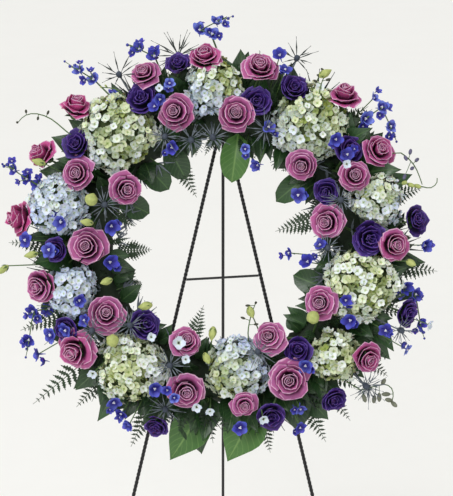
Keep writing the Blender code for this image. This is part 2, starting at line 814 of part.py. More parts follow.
def clear_foot(starts, knee, feet, stems, balls=()):
    """The nearest place in the foam from where stems to all the starts pass clear of the others."""
    for k in range(FOOT_TRIES):
        shift = (k + 1) // 2 * (1 if k % 2 else -1)
        foot = foot_of(starts, shift)
        paths = [samples(stem_path(start, foot, knee)) for start in starts]
        crowded = any((foot - other).length < FOOT_SPACING for other in feet)
        crossed = any(
            near_ball(stem, point, STEM_SPACING) for stem in stems for path in paths for point in path)
        inside = any(
            reach(point, vec(0, 0, 1), [ball]) == 0
            for ball in balls for path in paths for point in path[UNDER_BLOOM:])
        if not (crowded or crossed or inside):
            return foot
    return foot_of(starts)


def hydrangea_shape(centre, radius, obstacles, draw):
    """A domed head, every floret a raised point of its surface, giving way to its neighbours."""
    work = bmesh.new()
    bmesh.ops.create_icosphere(work, subdivisions=2, radius=1.0)
    spin = Matrix.Rotation(draw.uniform(0, 6), 3, "Z")
    bmesh.ops.rotate(work, verts=work.verts, cent=(0, 0, 0), matrix=spin)
    upper = [edge for edge in work.edges if sum(vert.co.z for vert in edge.verts) > UPPER_HALF]
    bmesh.ops.subdivide_edges(work, edges=upper, cuts=1)
    bmesh.ops.triangulate(work, faces=work.faces)
    for vert in work.verts:
        direction = vert.co.normalized()
        height = HYDRANGEA_UP if direction.z > 0 else HYDRANGEA_DOWN
        body = vec(direction.x * radius, direction.y * radius, direction.z * height)
        halfway = vert.co.length < 0.999
        relief = FLORET_VALLEY if halfway else FLORET_PEAK
        room = min(1.0, reach(centre, body.normalized(), obstacles) / (body.length * FLORET_PEAK))
        vert.co = centre + body * (relief * room * draw.uniform(0.98, 1.02))
    work.verts.ensure_lookup_table()
    points = [vert.co.copy() for vert in work.verts]
    faces = [tuple(vert.index for vert in face.verts) for face in work.faces]
    work.free()
    return points, faces


def floret_shape(centre, facing, radius):
    """A delphinium floret of five petals, thin at the rim and full at the bee in its middle."""
    side = vec(0, 1, 0) if abs(facing.y) < 0.8 else vec(1, 0, 0)
    rim = ring(centre, facing, side, lobes(10, radius, 0.4))
    return shell([[centre + facing * FLORET_FRONT], rim, [centre - facing * FLORET_BACK]])


def build_delphiniums(look, frame, obstacles, paths):
    """Sprays of florets along a bent stem."""
    for number, path in enumerate(paths, 1):
        centres = path[2:]
        last = (centres[-1] - centres[-2]).normalized()
        path = [*path, centres[-1] + last * FLORET_R * 0.8]
        stem = solid(f"delphinium_{number:02d}", shell(tube_rings(path, STEM_R, sides=3)))
        blooms = []
        for k, centre in enumerate(centres):
            outward = vec(centre.x, centre.y, 0).normalized()
            facing = (outward * 0.5 + vec(0, 0, 0.9) + last * 0.2).normalized()
            radius = FLORET_R * (1.0 - 0.12 * k)
            free = min(reach(centre, point, obstacles) for point in (outward, -outward, facing))
            blooms.append(solid("floret", floret_shape(centre, facing, min(radius, max(6.0, free)))))
        combine(stem, blooms, "UNION", "MANIFOLD")
        finish(stem, look, frame)


def build_thistles(look, frame, obstacles, paths):
    """Sea holly: a small head in a ruff of long needles."""
    for number, path in enumerate(paths, 1):
        centre = path[-1]
        outward = vec(centre.x, centre.y, 0).normalized()
        head = solid(f"thistle_{number:02d}", shell(tube_rings(path, STEM_R, sides=3)))
        axis = (outward * 0.4 + vec(0, 0, 1)).normalized()
        side = vec(1, 0, 0)
        core = [[centre + axis * THISTLE_CORE_R * 1.5],
                ring(centre + axis * 3, axis, side, [THISTLE_CORE_R] * 6),
                [centre - axis * THISTLE_CORE_R]]
        parts = [solid("core", shell(core))]
        ruff = ring(vec(0, 0, 0), axis, side, [1.0] * THISTLE_NEEDLES)
        for k, way in enumerate(ruff):
            way = (way + axis * (0.25 if k % 2 else 0.55)).normalized()
            length = min(THISTLE_NEEDLE, reach(centre, way, obstacles))
            if length > THISTLE_CORE_R + 4:
                needle = [ring(centre + way * NEEDLE_R, way, axis, [NEEDLE_R] * 3), [centre + way * length]]
                parts.append(solid("needle", shell(needle)))
        combine(head, parts, "UNION", "MANIFOLD")
        finish(head, look, frame)


def main():
    clear_scene()
    wire = material("black_wire", (0.012, 0.012, 0.013), 0.35, 0.3)
    plastic = material("dark_green_plastic", (0.02, 0.06, 0.03), 0.5)
    foam = material("wet_foam", (0.05, 0.12, 0.06), 0.9)
    leaf = material("leaf_green", (0.03, 0.11, 0.02), 0.45)
    pink = material("rose_pink", (0.55, 0.16, 0.28), 0.6)
    purple = material("lisianthus_purple", (0.11, 0.03, 0.3), 0.6)
    cream = material("hydrangea_cream", (0.72, 0.76, 0.55), 0.7)
    blue = material("delphinium_blue", (0.09, 0.09, 0.6), 0.6)
    grey = material("thistle_grey", (0.16, 0.2, 0.2), 0.6)
    frame = empty("wreath_plane", (0, CENTRE_Y, CENTRE_Z), math.pi / 2 - LEAN)

    build_front_legs(wire, frame)
    build_crossbar(wire, frame)
    build_head(wire, frame)
    build_pin(wire, frame)
    build_rear_leg(wire)
    build_tray(plastic, frame)

    roses = [place_bloom(*rose, facing=ROSE_FACINGS.get(k)) for k, rose in enumerate(ROSES)]
    lisianthus = [place_bloom(*bloom, sink=LISIANTHUS_DROP) for bloom in LISIANTHUS]
    rose_balls = [envelope(bloom) for bloom in roses]
    all_balls = rose_balls + [envelope(bloom) for bloom in lisianthus]
    feet = []
    stems = []
    for number, members in enumerate(ROSE_STEMS, 1):
        blooms = [roses[k] for k in members]
        foot = clear_foot([under(bloom, ROSE_RINGS) for bloom in blooms], ROSE_KNEE, feet, stems)
        feet.append(foot)
        others = [ball for k, ball in enumerate(rose_balls) if k not in members]
        bloom_node(f"roses_{number:02d}", blooms, ROSE, foot, others, [], pink, frame)
        stems += [stem_path(under(bloom, ROSE[0]), foot, ROSE[1]) for bloom in blooms]
    for number, members in enumerate(LISIANTHUS_STEMS, 1):
        blooms = [lisianthus[k] for k in members]
        starts = [under(bloom, LISIANTHUS_RINGS) for bloom in blooms]
        foot = clear_foot(starts, LISIANTHUS_KNEE, feet, stems)
        feet.append(foot)
        bloom_node(f"lisianthus_{number:02d}", blooms, PURPLE, foot, rose_balls, stems, purple, frame)
        stems += [stem_path(under(bloom, PURPLE[0]), foot, PURPLE[1]) for bloom in blooms]
    sprays = []
    for places in (*DELPHINIUMS, *((place,) for place in THISTLES)):
        start = vec(*places[0])
        foot = clear_foot([start], LOW_KNEE, feet, stems, all_balls)
        feet.append(foot)
        path = [vec(*foot, STEM_FOOT), vec(*foot, LOW_KNEE), *(vec(*place) for place in places)]
        sprays.append(path)
        stems.append(path)
    draw = random.Random(7)
    domes = []
    for number, (across, up, radius) in enumerate(HYDRANGEAS, 1):
        centre = vec(across, up, HYDRANGEA_OUT)
        foot = clear_foot([centre], LOW_KNEE, feet, stems)
        feet.append(foot)
        head = solid(f"hydrangea_{number:02d}", hydrangea_shape(centre, radius, all_balls, draw))
        stem = solid("stem", shell(tube_rings(stem_path(centre, foot, LOW_KNEE), STEM_R)))
        combine(head, [stem], "UNION")
        cut_stems(head, [(centre, None, radius)], stems)
        finish(head, cream, frame)
        domes.append((centre, vec(radius, radius, HYDRANGEA_UP)))
    everything = all_balls + domes
    build_delphiniums(blue, frame, everything, sprays[:len(DELPHINIUMS)])
    build_thistles(grey, frame, everything, sprays[len(DELPHINIUMS):])
    build_foam(foam, frame, feet)
    build_beds(leaf, frame, feet)


main()
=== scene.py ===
"""Looks of a standing funeral wreath of fresh flowers on a folding wire easel.

Flowers are placed in the plane of the wreath, in millimetres: across to the right, up along the
lean, and out towards the viewer from the axes of the easel's front legs.
"""

import math
import random

import bpy
import numpy as np
from mathutils import Matrix, Vector


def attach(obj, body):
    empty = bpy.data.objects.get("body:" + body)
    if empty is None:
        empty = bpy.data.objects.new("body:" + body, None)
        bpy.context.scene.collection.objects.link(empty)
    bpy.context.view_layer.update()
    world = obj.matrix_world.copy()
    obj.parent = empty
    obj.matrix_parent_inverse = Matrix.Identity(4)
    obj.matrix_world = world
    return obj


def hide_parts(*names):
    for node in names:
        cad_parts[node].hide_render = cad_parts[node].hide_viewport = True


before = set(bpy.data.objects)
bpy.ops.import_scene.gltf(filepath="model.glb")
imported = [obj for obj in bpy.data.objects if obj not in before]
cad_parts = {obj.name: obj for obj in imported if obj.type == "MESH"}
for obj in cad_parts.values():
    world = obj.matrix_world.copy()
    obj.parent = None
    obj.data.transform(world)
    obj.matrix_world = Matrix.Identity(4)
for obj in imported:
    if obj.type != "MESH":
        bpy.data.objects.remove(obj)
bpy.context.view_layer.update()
BODY = "front_frame"

# The plane of the wreath
LEAN = math.radians(15.0)
CENTRE = np.array((0.0, -85.60, 912.10))
PLANE = np.array((
    (1.0, 0.0, 0.0),
    (0.0, math.sin(LEAN), math.cos(LEAN)),
    (0.0, -math.cos(LEAN), math.sin(LEAN)),
))
MM = 0.001
MID_R = 245.0

# The dome of the blooms over the ring
DOME_R = 247.0
DOME_HALF = 135.0
DOME_BASE = 60.0
DOME_RISE = 58.0
LISIANTHUS_DROP = 12.0
TURN = 0.75

# The photograph, whose pixels are about 1.8 mm in the plane of the blooms
PHOTO_WIDE = 453
PHOTO_HIGH = 496
PHOTO_CENTRE = (223.0, 247.0)
PIXEL = 1.8

# Across, up, radius
ROSES = (
    (-32, 351, 31), (70, 329, 32), (-144, 319, 27), (220, 277, 30), (-266, 257, 28),
    (-85, 243, 31), (23, 238, 31), (-331, 171, 28), (286, 176, 31), (-265, 133, 29),
    (140, 146, 27), (238, 128, 28), (-173, 103, 29), (-374, 52, 32), (187, 45, 32),
    (-243, 0, 34), (311, 5, 31), (-335, -72, 31), (-209, -121, 32), (173, -97, 28),
    (-270, -189, 34), (-65, -169, 27), (81, -157, 29), (265, -203, 27), (-67, -259, 32),
    (122, -241, 36), (38, -284, 23),
)
ROSE_FACINGS = {3: (0.1, 0.8, 0.6), 4: (0.2, 0.75, 0.6), 7: (-0.6, 0.45, 0.65), 13: (-0.85, 0.1, 0.5)}
# The roses that are a stronger pink
STRONG_PINK = {3: 0.5, 4: 1.0, 7: 0.8, 13: 0.9, 0: 0.5, 1: 0.3, 8: 0.45, 20: 0.3, 23: 0.4, 16: 0.35}
ROSE_STEMS = (
    (0, 5), (1, 6), (2, 4), (3, 8), (7, 9), (10, 11), (12, 15),
    (13, 17), (18, 20), (21, 24), (22, 19), (25, 26), (14, 16), (23,),
)
LISIANTHUS = (
    (-83, 333, 24), (-148, 268, 31), (61, 265, 27), (130, 288, 28), (-268, 187, 27),
    (229, 178, 26), (187, 99, 24), (-302, -5, 22), (265, 16, 32), (355, 49, 27),
    (-286, -149, 22), (-140, -139, 28), (337, -122, 25), (135, -187, 25), (-122, -329, 24),
    (88, -308, 27), (203, -279, 26),
)
LISIANTHUS_STEMS = ((0, 1), (2, 3), (4,), (5, 6), (8, 9), (7,), (10, 11), (12,), (14,), (16, 15, 13))
HYDRANGEAS = (
    (-193, 207, 70), (-18, 290, 52), (160, 225, 70), (-299, 76, 55), (279, 85, 48),
    (-275, -79, 46), (250, -68, 68), (-167, -218, 62), (25, -222, 56), (203, -198, 46),
)
# How blue and how green each head is, on its left and lower side and on its right and upper side
HYDRANGEA_TINTS = (
    ((0.35, 0.4), (0.05, 0.62)), ((0.75, 0.1), (0.05, 0.7)), ((0.4, 0.4), (0.05, 0.7)),
    ((0.75, 0.1), (0.7, 0.1)), ((0.1, 0.45), (0.6, 0.15)), ((0.8, 0.05), (0.7, 0.1)),
    ((0.15, 0.3), (0.05, 0.4)), ((0.05, 0.45), (0.1, 0.15)), ((0.1, 0.6), (0.75, 0.05)),
    ((0.15, 0.4), (0.05, 0.5)),
)
# The head whose two tints meet along the other slant
SIDEWAYS_TINT = 5
HYDRANGEA_OUT = 76.0
HYDRANGEA_UP = 43.0
HYDRANGEA_DOWN = 12.0
HYDRANGEA_FLORET = 7.4
# Florets to the square of the head's size in florets, and how far down its sides they go
HYDRANGEA_CROWDING = 4.05
HYDRANGEA_REACH = 1.28
GOLDEN_ANGLE = math.pi * (3 - math.sqrt(5))

# Sprays: the florets' across, up and out, from the lowest on the stem to its tip
DELPHINIUMS = (
    ((-198, 268, 62), (-236, 306, 60), (-262, 322, 56)),
    ((-124, 346, 74), (-152, 360, 66)),
    ((-20, 388, 62), (-43, 396, 58), (-12, 412, 54)),
    ((258, 232, 80), (288, 254, 74), (306, 220, 62)),
    ((-336, 112, 60), (-358, 124, 56), (-382, 140, 50)),
    ((-318, -112, 52), (-348, -118, 50), (-356, -170, 46)),
    ((330, -72, 70), (352, -86, 56), (362, -138, 46)),
)
# Loose florets between the blooms, by the spray that they belong to: pixels of the photograph
BLUE_BETWEEN = (
    ((170, 85), (155, 107), (172, 148), (112, 226)),
    ((160, 100), (245, 150), (258, 165), (175, 396)),
    ((280, 55), (285, 70), (268, 128)),
    ((335, 140), (347, 155), (298, 195)),
    ((62, 222), (60, 213), (25, 240), (110, 262), (50, 250)),
    ((50, 335), (35, 356), (80, 300), (85, 320), (114, 402), (121, 414), (129, 425), (155, 388), (66, 330)),
    ((320, 245), (290, 253), (308, 262), (350, 320), (408, 350), (385, 330), (305, 365), (300, 408),
     (425, 245), (345, 300), (240, 427), (375, 97), (300, 428)),
)
PALE_FLORETS = ((375, 97), (408, 350), (172, 85), (170, 85), (245, 150), (175, 396))
PALE_SPRAYS = (1, 3, 4)
FLORET_R = 15.0
THISTLES = ((-188, 312, 70), (134, 342, 66), (-18, 196, 96), (262, -254, 78), (-104, -292, 84))
THISTLES_BETWEEN = (
    ((105, 205), (178, 53)), ((340, 200), (265, 130)), ((165, 137), (191, 140)),
    ((365, 385), (328, 248), (400, 330)), ((170, 365), (258, 352), (93, 330), (130, 325)),
)

# Against the light, with bracts painted dark as shade, and the one whose bracts show from behind a bloom,
# painted dark as shade too
DARK_THISTLES = (1, 2)
THISTLE_BEHIND = (178, 53)
# Length of the bracts, their number, width and look
THISTLE_SHAPES = {
    "pale": (38, 15, 2.6, "thistle_bract"), "dark": (46, 9, 3.4, "dark_bract"),
    "between": (36, 15, 2.4, "thistle_bract"), "behind": (52, 17, 3.2, "dark_bract"),
}

# Fern fronds and broad leaves: across, up and out of the tip, and the width
FRONDS = (
    (-353, -292, 14, 40), (-398, 8, 14, 38), (-376, -155, 14, 38), (-272, -297, 16, 36),
    (-171, -371, 14, 38), (88, -382, 14, 36), (191, -362, 14, 40), (236, -322, 18, 34),
    (306, -240, 14, 38), (398, -45, 14, 42), (-49, 92, 16, 34), (97, 29, 20, 40),
    (-132, -5, 18, 36), (-150, -66, 18, 34), (-36, -108, 18, 32), (370, 110, 14, 38),
)
LEAVES = (
    (-136, 62, 24, 46), (-100, 106, 26, 48), (-68, 124, 34, 46), (16, 119, 26, 54),
    (98, 84, 26, 44), (130, -52, 24, 46), (372, -28, 40, 44), (-232, -322, 26, 46),
    (-276, -262, 28, 42), (124, -124, 24, 44), (350, 134, 26, 42),
)
BRIGHT_TIP = (16, 119)
# The broadest leaves: root, tip, width, look and tone
BIG_LEAVES = (
    ((-30, -286, 40), (-98, -394, 20), 74, "bright_leaf", 0.35),
    ((62, -292, 40), (8, -396, 24), 78, "bright_leaf", 0.6),
    ((-60, -270, 38), (-40, -384, 14), 66, "broad_leaf", 0.35),
    ((40, -280, 36), (44, -376, 12), 60, "broad_leaf", 0.3),
)
BUDS = (
    (95, 201), (91, 223), (110, 280), (149, 305), (115, 338), (213, 330), (206, 355), (310, 315),
    (3, 268), (35, 254), (42, 163), (408, 262), (250, 310), (322, 75),
)
ROUND_BUDS = ((115, 338), (310, 315), (95, 201))
BED_JOINTS = (0, 60, 96, 168, 240, 288, 360)
# Leaves drawn at every step round the ring, in degrees: the side of the ring that they grow on, the
# shortest and longest, and the least and most that they rise towards the viewer
FILLER_STEP = 3.0
FILLERS = (
    (1, 58, 100, -0.1, 0.35), (1, 56, 96, 0.45, 1.2), (1, 50, 84, 0.2, 0.8), (-1, 30, 52, -0.05, 0.6),
    (0, 36, 62, 0.8, 1.6),
)
# Of the fillers, the share that are ferns, and that with the spikes
FERN_SHARE = 0.34
FERN_AND_SPIKE_SHARE = 0.5
# Small white filler flowers: their pixel and radius
WHITE_FLOWERS = (
    ((179, 342), 11.5), ((186, 358), 8.0), ((197, 405), 9.0), ((152, 336), 8.0), ((94, 372), 9.0),
    ((160, 90), 7.0), ((430, 325), 10.0), ((345, 165), 8.0), ((263, 417), 9.0), ((210, 409), 8.0),
)
# Thin sprigs: pixels of the stem from the bed outwards, pixels of the buds, and the buds' size and look
SPRIGS = (
    (((64, 130), (50, 117), (34, 111), (22, 113), (15, 121)),
     ((15, 121), (24, 110), (36, 117), (46, 111)), 3.4, "dark_bud"),
    (((318, 100), (320, 86), (326, 73)),
     ((326, 73), (319, 76), (315, 82), (328, 80), (323, 70)), 3.8, "dark_bud"),
    (((247, 336), (250, 318), (256, 303)),
     ((256, 303), (248, 306), (252, 313), (243, 318), (256, 324)), 3.4, "dark_bud"),
    (((396, 150), (406, 155), (416, 164), (421, 175), (424, 184)),
     ((406, 158), (412, 151), (419, 159), (413, 168), (404, 177)), 4.8, "violet_bud"),
    (((398, 182), (412, 185), (424, 186), (433, 188), (440, 183), (440, 177)),
     ((404, 183), (411, 185), (418, 186)), 6.0, "green_bud"),
    (((356, 392), (372, 388), (386, 385), (394, 389), (396, 397), (394, 404)),
     ((365, 399), (381, 399), (388, 396), (396, 406), (385, 383), (391, 402), (376, 401)), 6.2, "berry"),
    (((122, 92), (112, 88), (101, 87)), ((106, 86), (101, 87)), 2.6, "green_bud"),
)

# Petals: colours at the foot, of the body, at the rim and of the stronger blooms' bodies, and cloudiness
# The dark foot colours are painted shade deep between the petals; the pale rim colours are partly the
# petals' paler edge and partly a painted highlight.
PETAL_LOOKS = {
    "rose_petal": (((58, 12, 44), (172, 88, 146), (228, 176, 208), (194, 72, 138)), 0.1),
    "lisianthus_petal": (((18, 8, 46), (58, 24, 118), (108, 80, 172), (46, 22, 112)), 0.3),
    "delphinium_petal": (((34, 28, 136), (52, 50, 186), (84, 92, 214), (122, 142, 232)), 0.25),
}
# Leaves: dark, light and vein colours, and roughness
LEAF_LOOKS = {
    "broad_leaf": (((16, 35, 21), (48, 88, 41), (98, 134, 76)), 0.3),
    "bright_leaf": (((38, 80, 28), (84, 132, 56), (140, 176, 100)), 0.3),
    "fern_leaf": (((14, 32, 16), (36, 68, 30), (52, 86, 42)), 0.45),
}
# Plain surfaces: dark and light colours, roughness, scale of the clouds, relief in metres, and metal
PLAIN_LOOKS = {
    # The hydrangea core is the head's green stalks, darkened as painted shade in the gaps between florets.
    "hydrangea_core": (((34, 48, 24), (84, 98, 50)), 0.7, 160.0, 0.002),
    "delphinium_bee": (((214, 214, 226), (240, 240, 244)), 0.5, 300.0),
    "green_stem": (((52, 78, 40), (92, 122, 66)), 0.45, 200.0),
    "green_bud": (((104, 124, 58), (206, 212, 130)), 0.45, 160.0),
    "dark_bud": (((34, 38, 30), (72, 74, 52)), 0.5, 160.0),
    "violet_bud": (((62, 60, 84), (108, 104, 136)), 0.5, 160.0),
    "berry": (((56, 60, 50), (140, 144, 122)), 0.4, 160.0),
    "thistle_bract": (((54, 66, 72), (136, 144, 156)), 0.5, 180.0),
    # dark_bract: thistle bracts painted dark as shade, for heads against the light or behind a bloom
    "dark_bract": (((16, 24, 22), (48, 60, 56)), 0.5, 180.0),
    "thistle_head": (((30, 38, 50), (82, 92, 108)), 0.6, 400.0, 0.001),
    "bed_of_leaves": (((10, 24, 10), (28, 50, 22)), 0.6, 120.0, 0.003),
    "black_wire": (((16, 16, 17), (34, 34, 36)), 0.28, 300.0, 0.0002, 0.3),
    "tray_plastic": (((14, 34, 22), (26, 52, 34)), 0.4, 60.0, 0.0002),
    "wet_foam": (((24, 60, 32), (52, 96, 54)), 0.75, 500.0, 0.0015),
    "pale_floor": (((244, 244, 241), (248, 248, 245)), 0.8, 2.0, 0.0001),
}
# The finishes of the nodes whose own shape stays
FRAME_LOOKS = {
    "crossbar": "black_wire", "easel_head": "black_wire", "pivot_pin": "black_wire",
    "rear_leg": "black_wire", "foam_tray": "tray_plastic", "foam_ring": "wet_foam",
}

# Petals, half their spread in degrees, radius and height of the rim, height of the foot, roll, and tip
ROSE_LAYERS = (
    (2, 160, 0.07, 0.10, -0.50, 0.00, 0.02), (2, 128, 0.15, 0.16, -0.62, 0.005, 0.05),
    (3, 104, 0.24, 0.20, -0.68, 0.02, 0.08), (3, 90, 0.37, 0.19, -0.75, 0.05, 0.14),
    (3, 74, 0.54, 0.08, -0.78, 0.13, 0.26), (3, 66, 0.72, -0.1, -0.82, 0.2, 0.34),
    (4, 56, 0.85, -0.32, -0.88, 0.24, 0.4),
)
# Roses seen from the side stand up as taller cups
TALL_ROSE_LAYERS = tuple(
    (petals, wrap, rim_r * 0.93, rim_z + 0.14 + 0.3 * (1 - rim_r), foot_z, curl, tip)
    for petals, wrap, rim_r, rim_z, foot_z, curl, tip in ROSE_LAYERS)
LISIANTHUS_LAYERS = (
    (2, 130, 0.12, 0.06, -0.50, 0.0, 0.04), (3, 100, 0.27, 0.14, -0.55, 0.03, 0.06),
    (3, 84, 0.46, 0.12, -0.60, 0.06, 0.08), (4, 68, 0.68, 0.05, -0.65, 0.10, 0.10),
    (5, 56, 0.88, -0.10, -0.72, 0.15, 0.14),
)
FLORET_CUPS = (0.08, 0.28, 0.5)
WHITE_FLORET_CUP = 0.42

# The stems' rise out of the foam, and the rise of a stalk's middle
STEM_KNEE = 30.0
STALK_RISE = 8.0
# How far out the roots of the stalks stand, and at most how far from the middle of the ring
STALK_ROOT_OUT = 34.0
STALK_ROOT_HALF = 32.0
# The same of fronds and leaves
BLADE_ROOT_OUT = 37.0
BED_HALF = 34.0
FROND_ARCH = 0.12

# The twist of the front legs over their length, and half the diagonal of their wire
LEG_TURNS = 40
LEG_WIRE_R = 3.6

uniform = random.Random(11).uniform
norm = np.linalg.norm
MOULDS = {}


# Arrays


def unit(vector):
    vector = np.asarray(vector, float)
    return vector / norm(vector)


def circle(angle):
    """A direction in the plane of the wreath."""
    return np.array((math.cos(angle), math.sin(angle), 0.0))


def swung(first, second, angle):
    """A direction that turns from one towards another."""
    return first * math.cos(angle) + second * math.sin(angle)


def turned(x, y, turn):
    """Two coordinates turned about the third axis."""
    return x * np.cos(turn) - y * np.sin(turn), x * np.sin(turn) + y * np.cos(turn)


def spin():
    return uniform(0, 6.3)


def jitter(reach):
    """A random offset, up to a reach along each axis."""
    return np.array([uniform(-reach, reach) for _ in range(3)])


def within(share):
    return min(1.0, max(0.0, share))


def to_world(points):
    return (CENTRE + points @ PLANE) * MM


def to_plane(points):
    return (points / MM - CENTRE) @ PLANE.T


def photo_place(pixel):
    """Across and up of a pixel of the photograph."""
    return (pixel[0] - PHOTO_CENTRE[0]) * PIXEL, (PHOTO_CENTRE[1] - pixel[1]) * PIXEL


def basis(facing, turn=0.0):
    """Across, up and facing directions of a thing that looks one way, turned about it."""
    facing = unit(facing)
    helper = (0.0, 1.0, 0.0) if abs(facing[1]) < 0.8 else (1.0, 0.0, 0.0)
    side = unit(np.cross(helper, facing))
    first = swung(side, np.cross(facing, side), turn)
    return np.array((first, np.cross(facing, first), facing))


def dome_facing(across, up):
    """The way that the dome of blooms faces at a place."""
    distance = math.hypot(across, up)
    tilt = TURN * math.asin(max(-1.0, min(1.0, (distance - DOME_R) / DOME_HALF)))
    outward = np.array((across, up, 0.0)) / distance
    return outward * math.sin(tilt) + np.array((0.0, 0.0, math.cos(tilt)))


def dome_place(across, up, sink=0.0):
    """A place on the dome of blooms, or sunk under it."""
    share = min(1.0, abs(math.hypot(across, up) - DOME_R) / DOME_HALF)
    return np.array((across, up, DOME_BASE + DOME_RISE * math.sqrt(1 - share * share) - sink))


def bed_point(across, up):
    """A place in the greenery under a bloom."""
    distance = math.hypot(across, up)
    radius = MID_R + max(-STALK_ROOT_HALF, min(STALK_ROOT_HALF, distance - MID_R))
    return np.array((across / distance * radius, up / distance * radius, STALK_ROOT_OUT))


# Finishes


def srgb(colour):
    """A colour as painted on a screen, 0 to 255, for a shader."""
    shares = [channel / 255 for channel in colour]
    return tuple(s / 12.92 if s < 0.04045 else ((s + 0.055) / 1.055) ** 2.4 for s in shares) + (1.0,)


def grey(share):
    return (share, share, share, 1.0)


class Value:
    """A number in a shader, for use in Python expressions."""

    def __init__(self, finish, socket):
        self.finish = finish
        self.socket = socket

    def maths(self, operation, *others):
        return self.finish.node("ShaderNodeMath", {"operation": operation}, dict(enumerate(others)))

    def __add__(self, other):
        return self.maths("ADD", self, other)

    def __sub__(self, other):
        return self.maths("SUBTRACT", self, other)

    def __mul__(self, other):
        return self.maths("MULTIPLY", self, other)


class Finish:
    """A material and the nodes that vary it."""

    def __init__(self, name, **constants):
        material = bpy.data.materials.new(name)
        material.use_nodes = True
        self.tree = material.node_tree
        self.shader = self.tree.nodes["Principled BSDF"]
        for socket, value in constants.items():
            self.set(socket.replace("_", " "), value)

    def put(self, socket, value):
        """Link or set one socket."""
        if isinstance(value, Value):
            self.tree.links.new(value.socket, socket)
        else:
            socket.default_value = value

    def set(self, name, value):
        self.put(self.shader.inputs[name], value)

    def node(self, kind, settings=None, inputs=None, output=0):
        node = self.tree.nodes.new(kind)
        for name, value in (settings or {}).items():
            setattr(node, name, value)
        for name, value in (inputs or {}).items():
            self.put(node.inputs[name], value)
        return Value(self, node.outputs[output])

    def marks(self):
        """What a piece's points say: how far along, how far across, and the tone of the copy."""
        marks = self.node("ShaderNodeAttribute", {"attribute_name": "marks"}, output="Vector")
        return [self.node("ShaderNodeSeparateXYZ", {}, {0: marks}, axis) for axis in range(3)]

    def noise(self, scale, detail=3.0):
        place = self.node("ShaderNodeTexCoord", output="Object")
        inputs = {"Vector": place, "Scale": scale, "Detail": detail, "Roughness": 0.55}
        return self.node("ShaderNodeTexNoise", {}, inputs)

    def ramp(self, value, *stops):
        """Colours at places from 0 to 1."""
        found = self.node("ShaderNodeValToRGB", {}, {0: value})
        ramp = found.socket.node.color_ramp
        while len(ramp.elements) < len(stops):
            ramp.elements.new(0.5)
        for element, (place, colour) in zip(ramp.elements, stops):
            element.position = place
            element.color = colour
        return found

    def mix(self, factor, first, second, blend="MIX"):
        settings = {"data_type": "RGBA", "blend_type": blend}
        return self.node("ShaderNodeMix", settings, {0: factor, 6: first, 7: second}, 2)

    def bump(self, height, distance, strength=0.6):
        """Relief of a real height in metres."""
        inputs = {"Strength": strength, "Distance": distance, "Height": height}
        self.set("Normal", self.node("ShaderNodeBump", {}, inputs))


def petal_finish(name, colours, grain):
    """Petals with painted shade at the foot, paling towards the rim partly as a painted highlight; some
    blooms stronger in colour than others.
    """
    foot, body, rim, strong = map(srgb, colours)
    finish = Finish(name, Subsurface_Weight=0.12, Subsurface_Scale=0.004)
    along, across, tone = finish.marks()
    cloud = finish.noise(90.0)
    place = along + (cloud - 0.5) * grain
    # The ramps paint shade at the petals' feet and a highlight on their rims.
    plain = finish.ramp(place, (0.42, foot), (0.86, body), (0.94, body), (0.99, rim))
    richer = finish.ramp(place, (0.36, foot), (0.8, strong), (0.94, strong), (0.99, rim))
    colour = finish.mix(tone, plain, richer)
    sheet = finish.node("ShaderNodeCombineXYZ", {}, {0: across, 1: along * 0.2})
    streaks = finish.node("ShaderNodeTexWave", {"wave_type": "BANDS"}, {
        "Vector": sheet, "Scale": 9.0, "Distortion": 2.0, "Detail": 2.0})
    shade = finish.ramp(cloud * 0.6 + streaks * 0.4, (0.3, grey(0.84)), (0.7, grey(1)))
    finish.set("Base Color", finish.mix(1.0, colour, shade, "MULTIPLY"))
    finish.set("Roughness", cloud * 0.2 + 0.5)
    finish.bump(streaks * 0.5 + finish.noise(600.0, 2.0), 0.0006, 0.35)


def leaf_finish(name, colours, shine):
    """Leaf green with a pale rib and side veins."""
    dark, light, vein = map(srgb, colours)
    finish = Finish(name, Coat_Weight=0.12, Coat_Roughness=0.3)
    along, across, tone = finish.marks()
    cloud = finish.noise(45.0)
    green = finish.mix(tone * 0.7 + cloud * 0.4, dark, light)
    side = across.maths("ABSOLUTE", across)
    rib = finish.ramp(side, (0.0, grey(1)), (0.1, grey(0)))
    stripes = along.maths("PINGPONG", along * 9.0 - side * 2.2, 0.5)
    branches = finish.ramp(stripes, (0.0, grey(0.45)), (0.12, grey(0)))
    lines = finish.node("ShaderNodeRGBToBW", {}, {0: finish.mix(1.0, rib, branches, "LIGHTEN")})
    finish.set("Base Color", finish.mix(lines * 0.55, green, vein))
    finish.set("Roughness", cloud * 0.2 + shine)
    finish.bump(cloud * 0.5 - lines * 0.8, 0.0008, 0.5)


def hydrangea_finish():
    """Florets from cream to leaf green by their tone, which is partly painted shade where they sit deep, and
    to pale blue by the other mark.
    """
    finish = Finish("hydrangea_petal", Subsurface_Weight=0.1, Subsurface_Scale=0.003)
    along, blue, green = finish.marks()
    cloud = finish.noise(140.0)
    cream = finish.ramp(
        green + (cloud - 0.5) * 0.3,
        (0.0, srgb((232, 236, 232))), (0.42, srgb((220, 226, 188))), (1.0, srgb((144, 160, 76))))
    cool = finish.mix(along, srgb((214, 222, 240)), srgb((178, 194, 232)))
    heart = finish.ramp(along, (0.0, srgb((176, 196, 104))), (0.3, grey(1)))
    finish.set("Base Color", finish.mix(0.8, finish.mix(blue, cream, cool), heart, "MULTIPLY"))
    finish.set("Roughness", cloud * 0.2 + 0.5)
    finish.bump(cloud, 0.0005, 0.4)


def plain_finish(name, colours, roughness, scale, relief=0.0004, metal=0.0):
    """A surface clouded between two colours, with grain."""
    dark, light = map(srgb, colours)
    finish = Finish(name, Metallic=metal)
    cloud = finish.noise(scale)
    fine = finish.noise(scale * 8)
    finish.set("Base Color", finish.mix(cloud * 0.7 + fine * 0.3, dark, light))
    finish.set("Roughness", fine * 0.25 + roughness)
    finish.bump(fine, relief, 0.5)


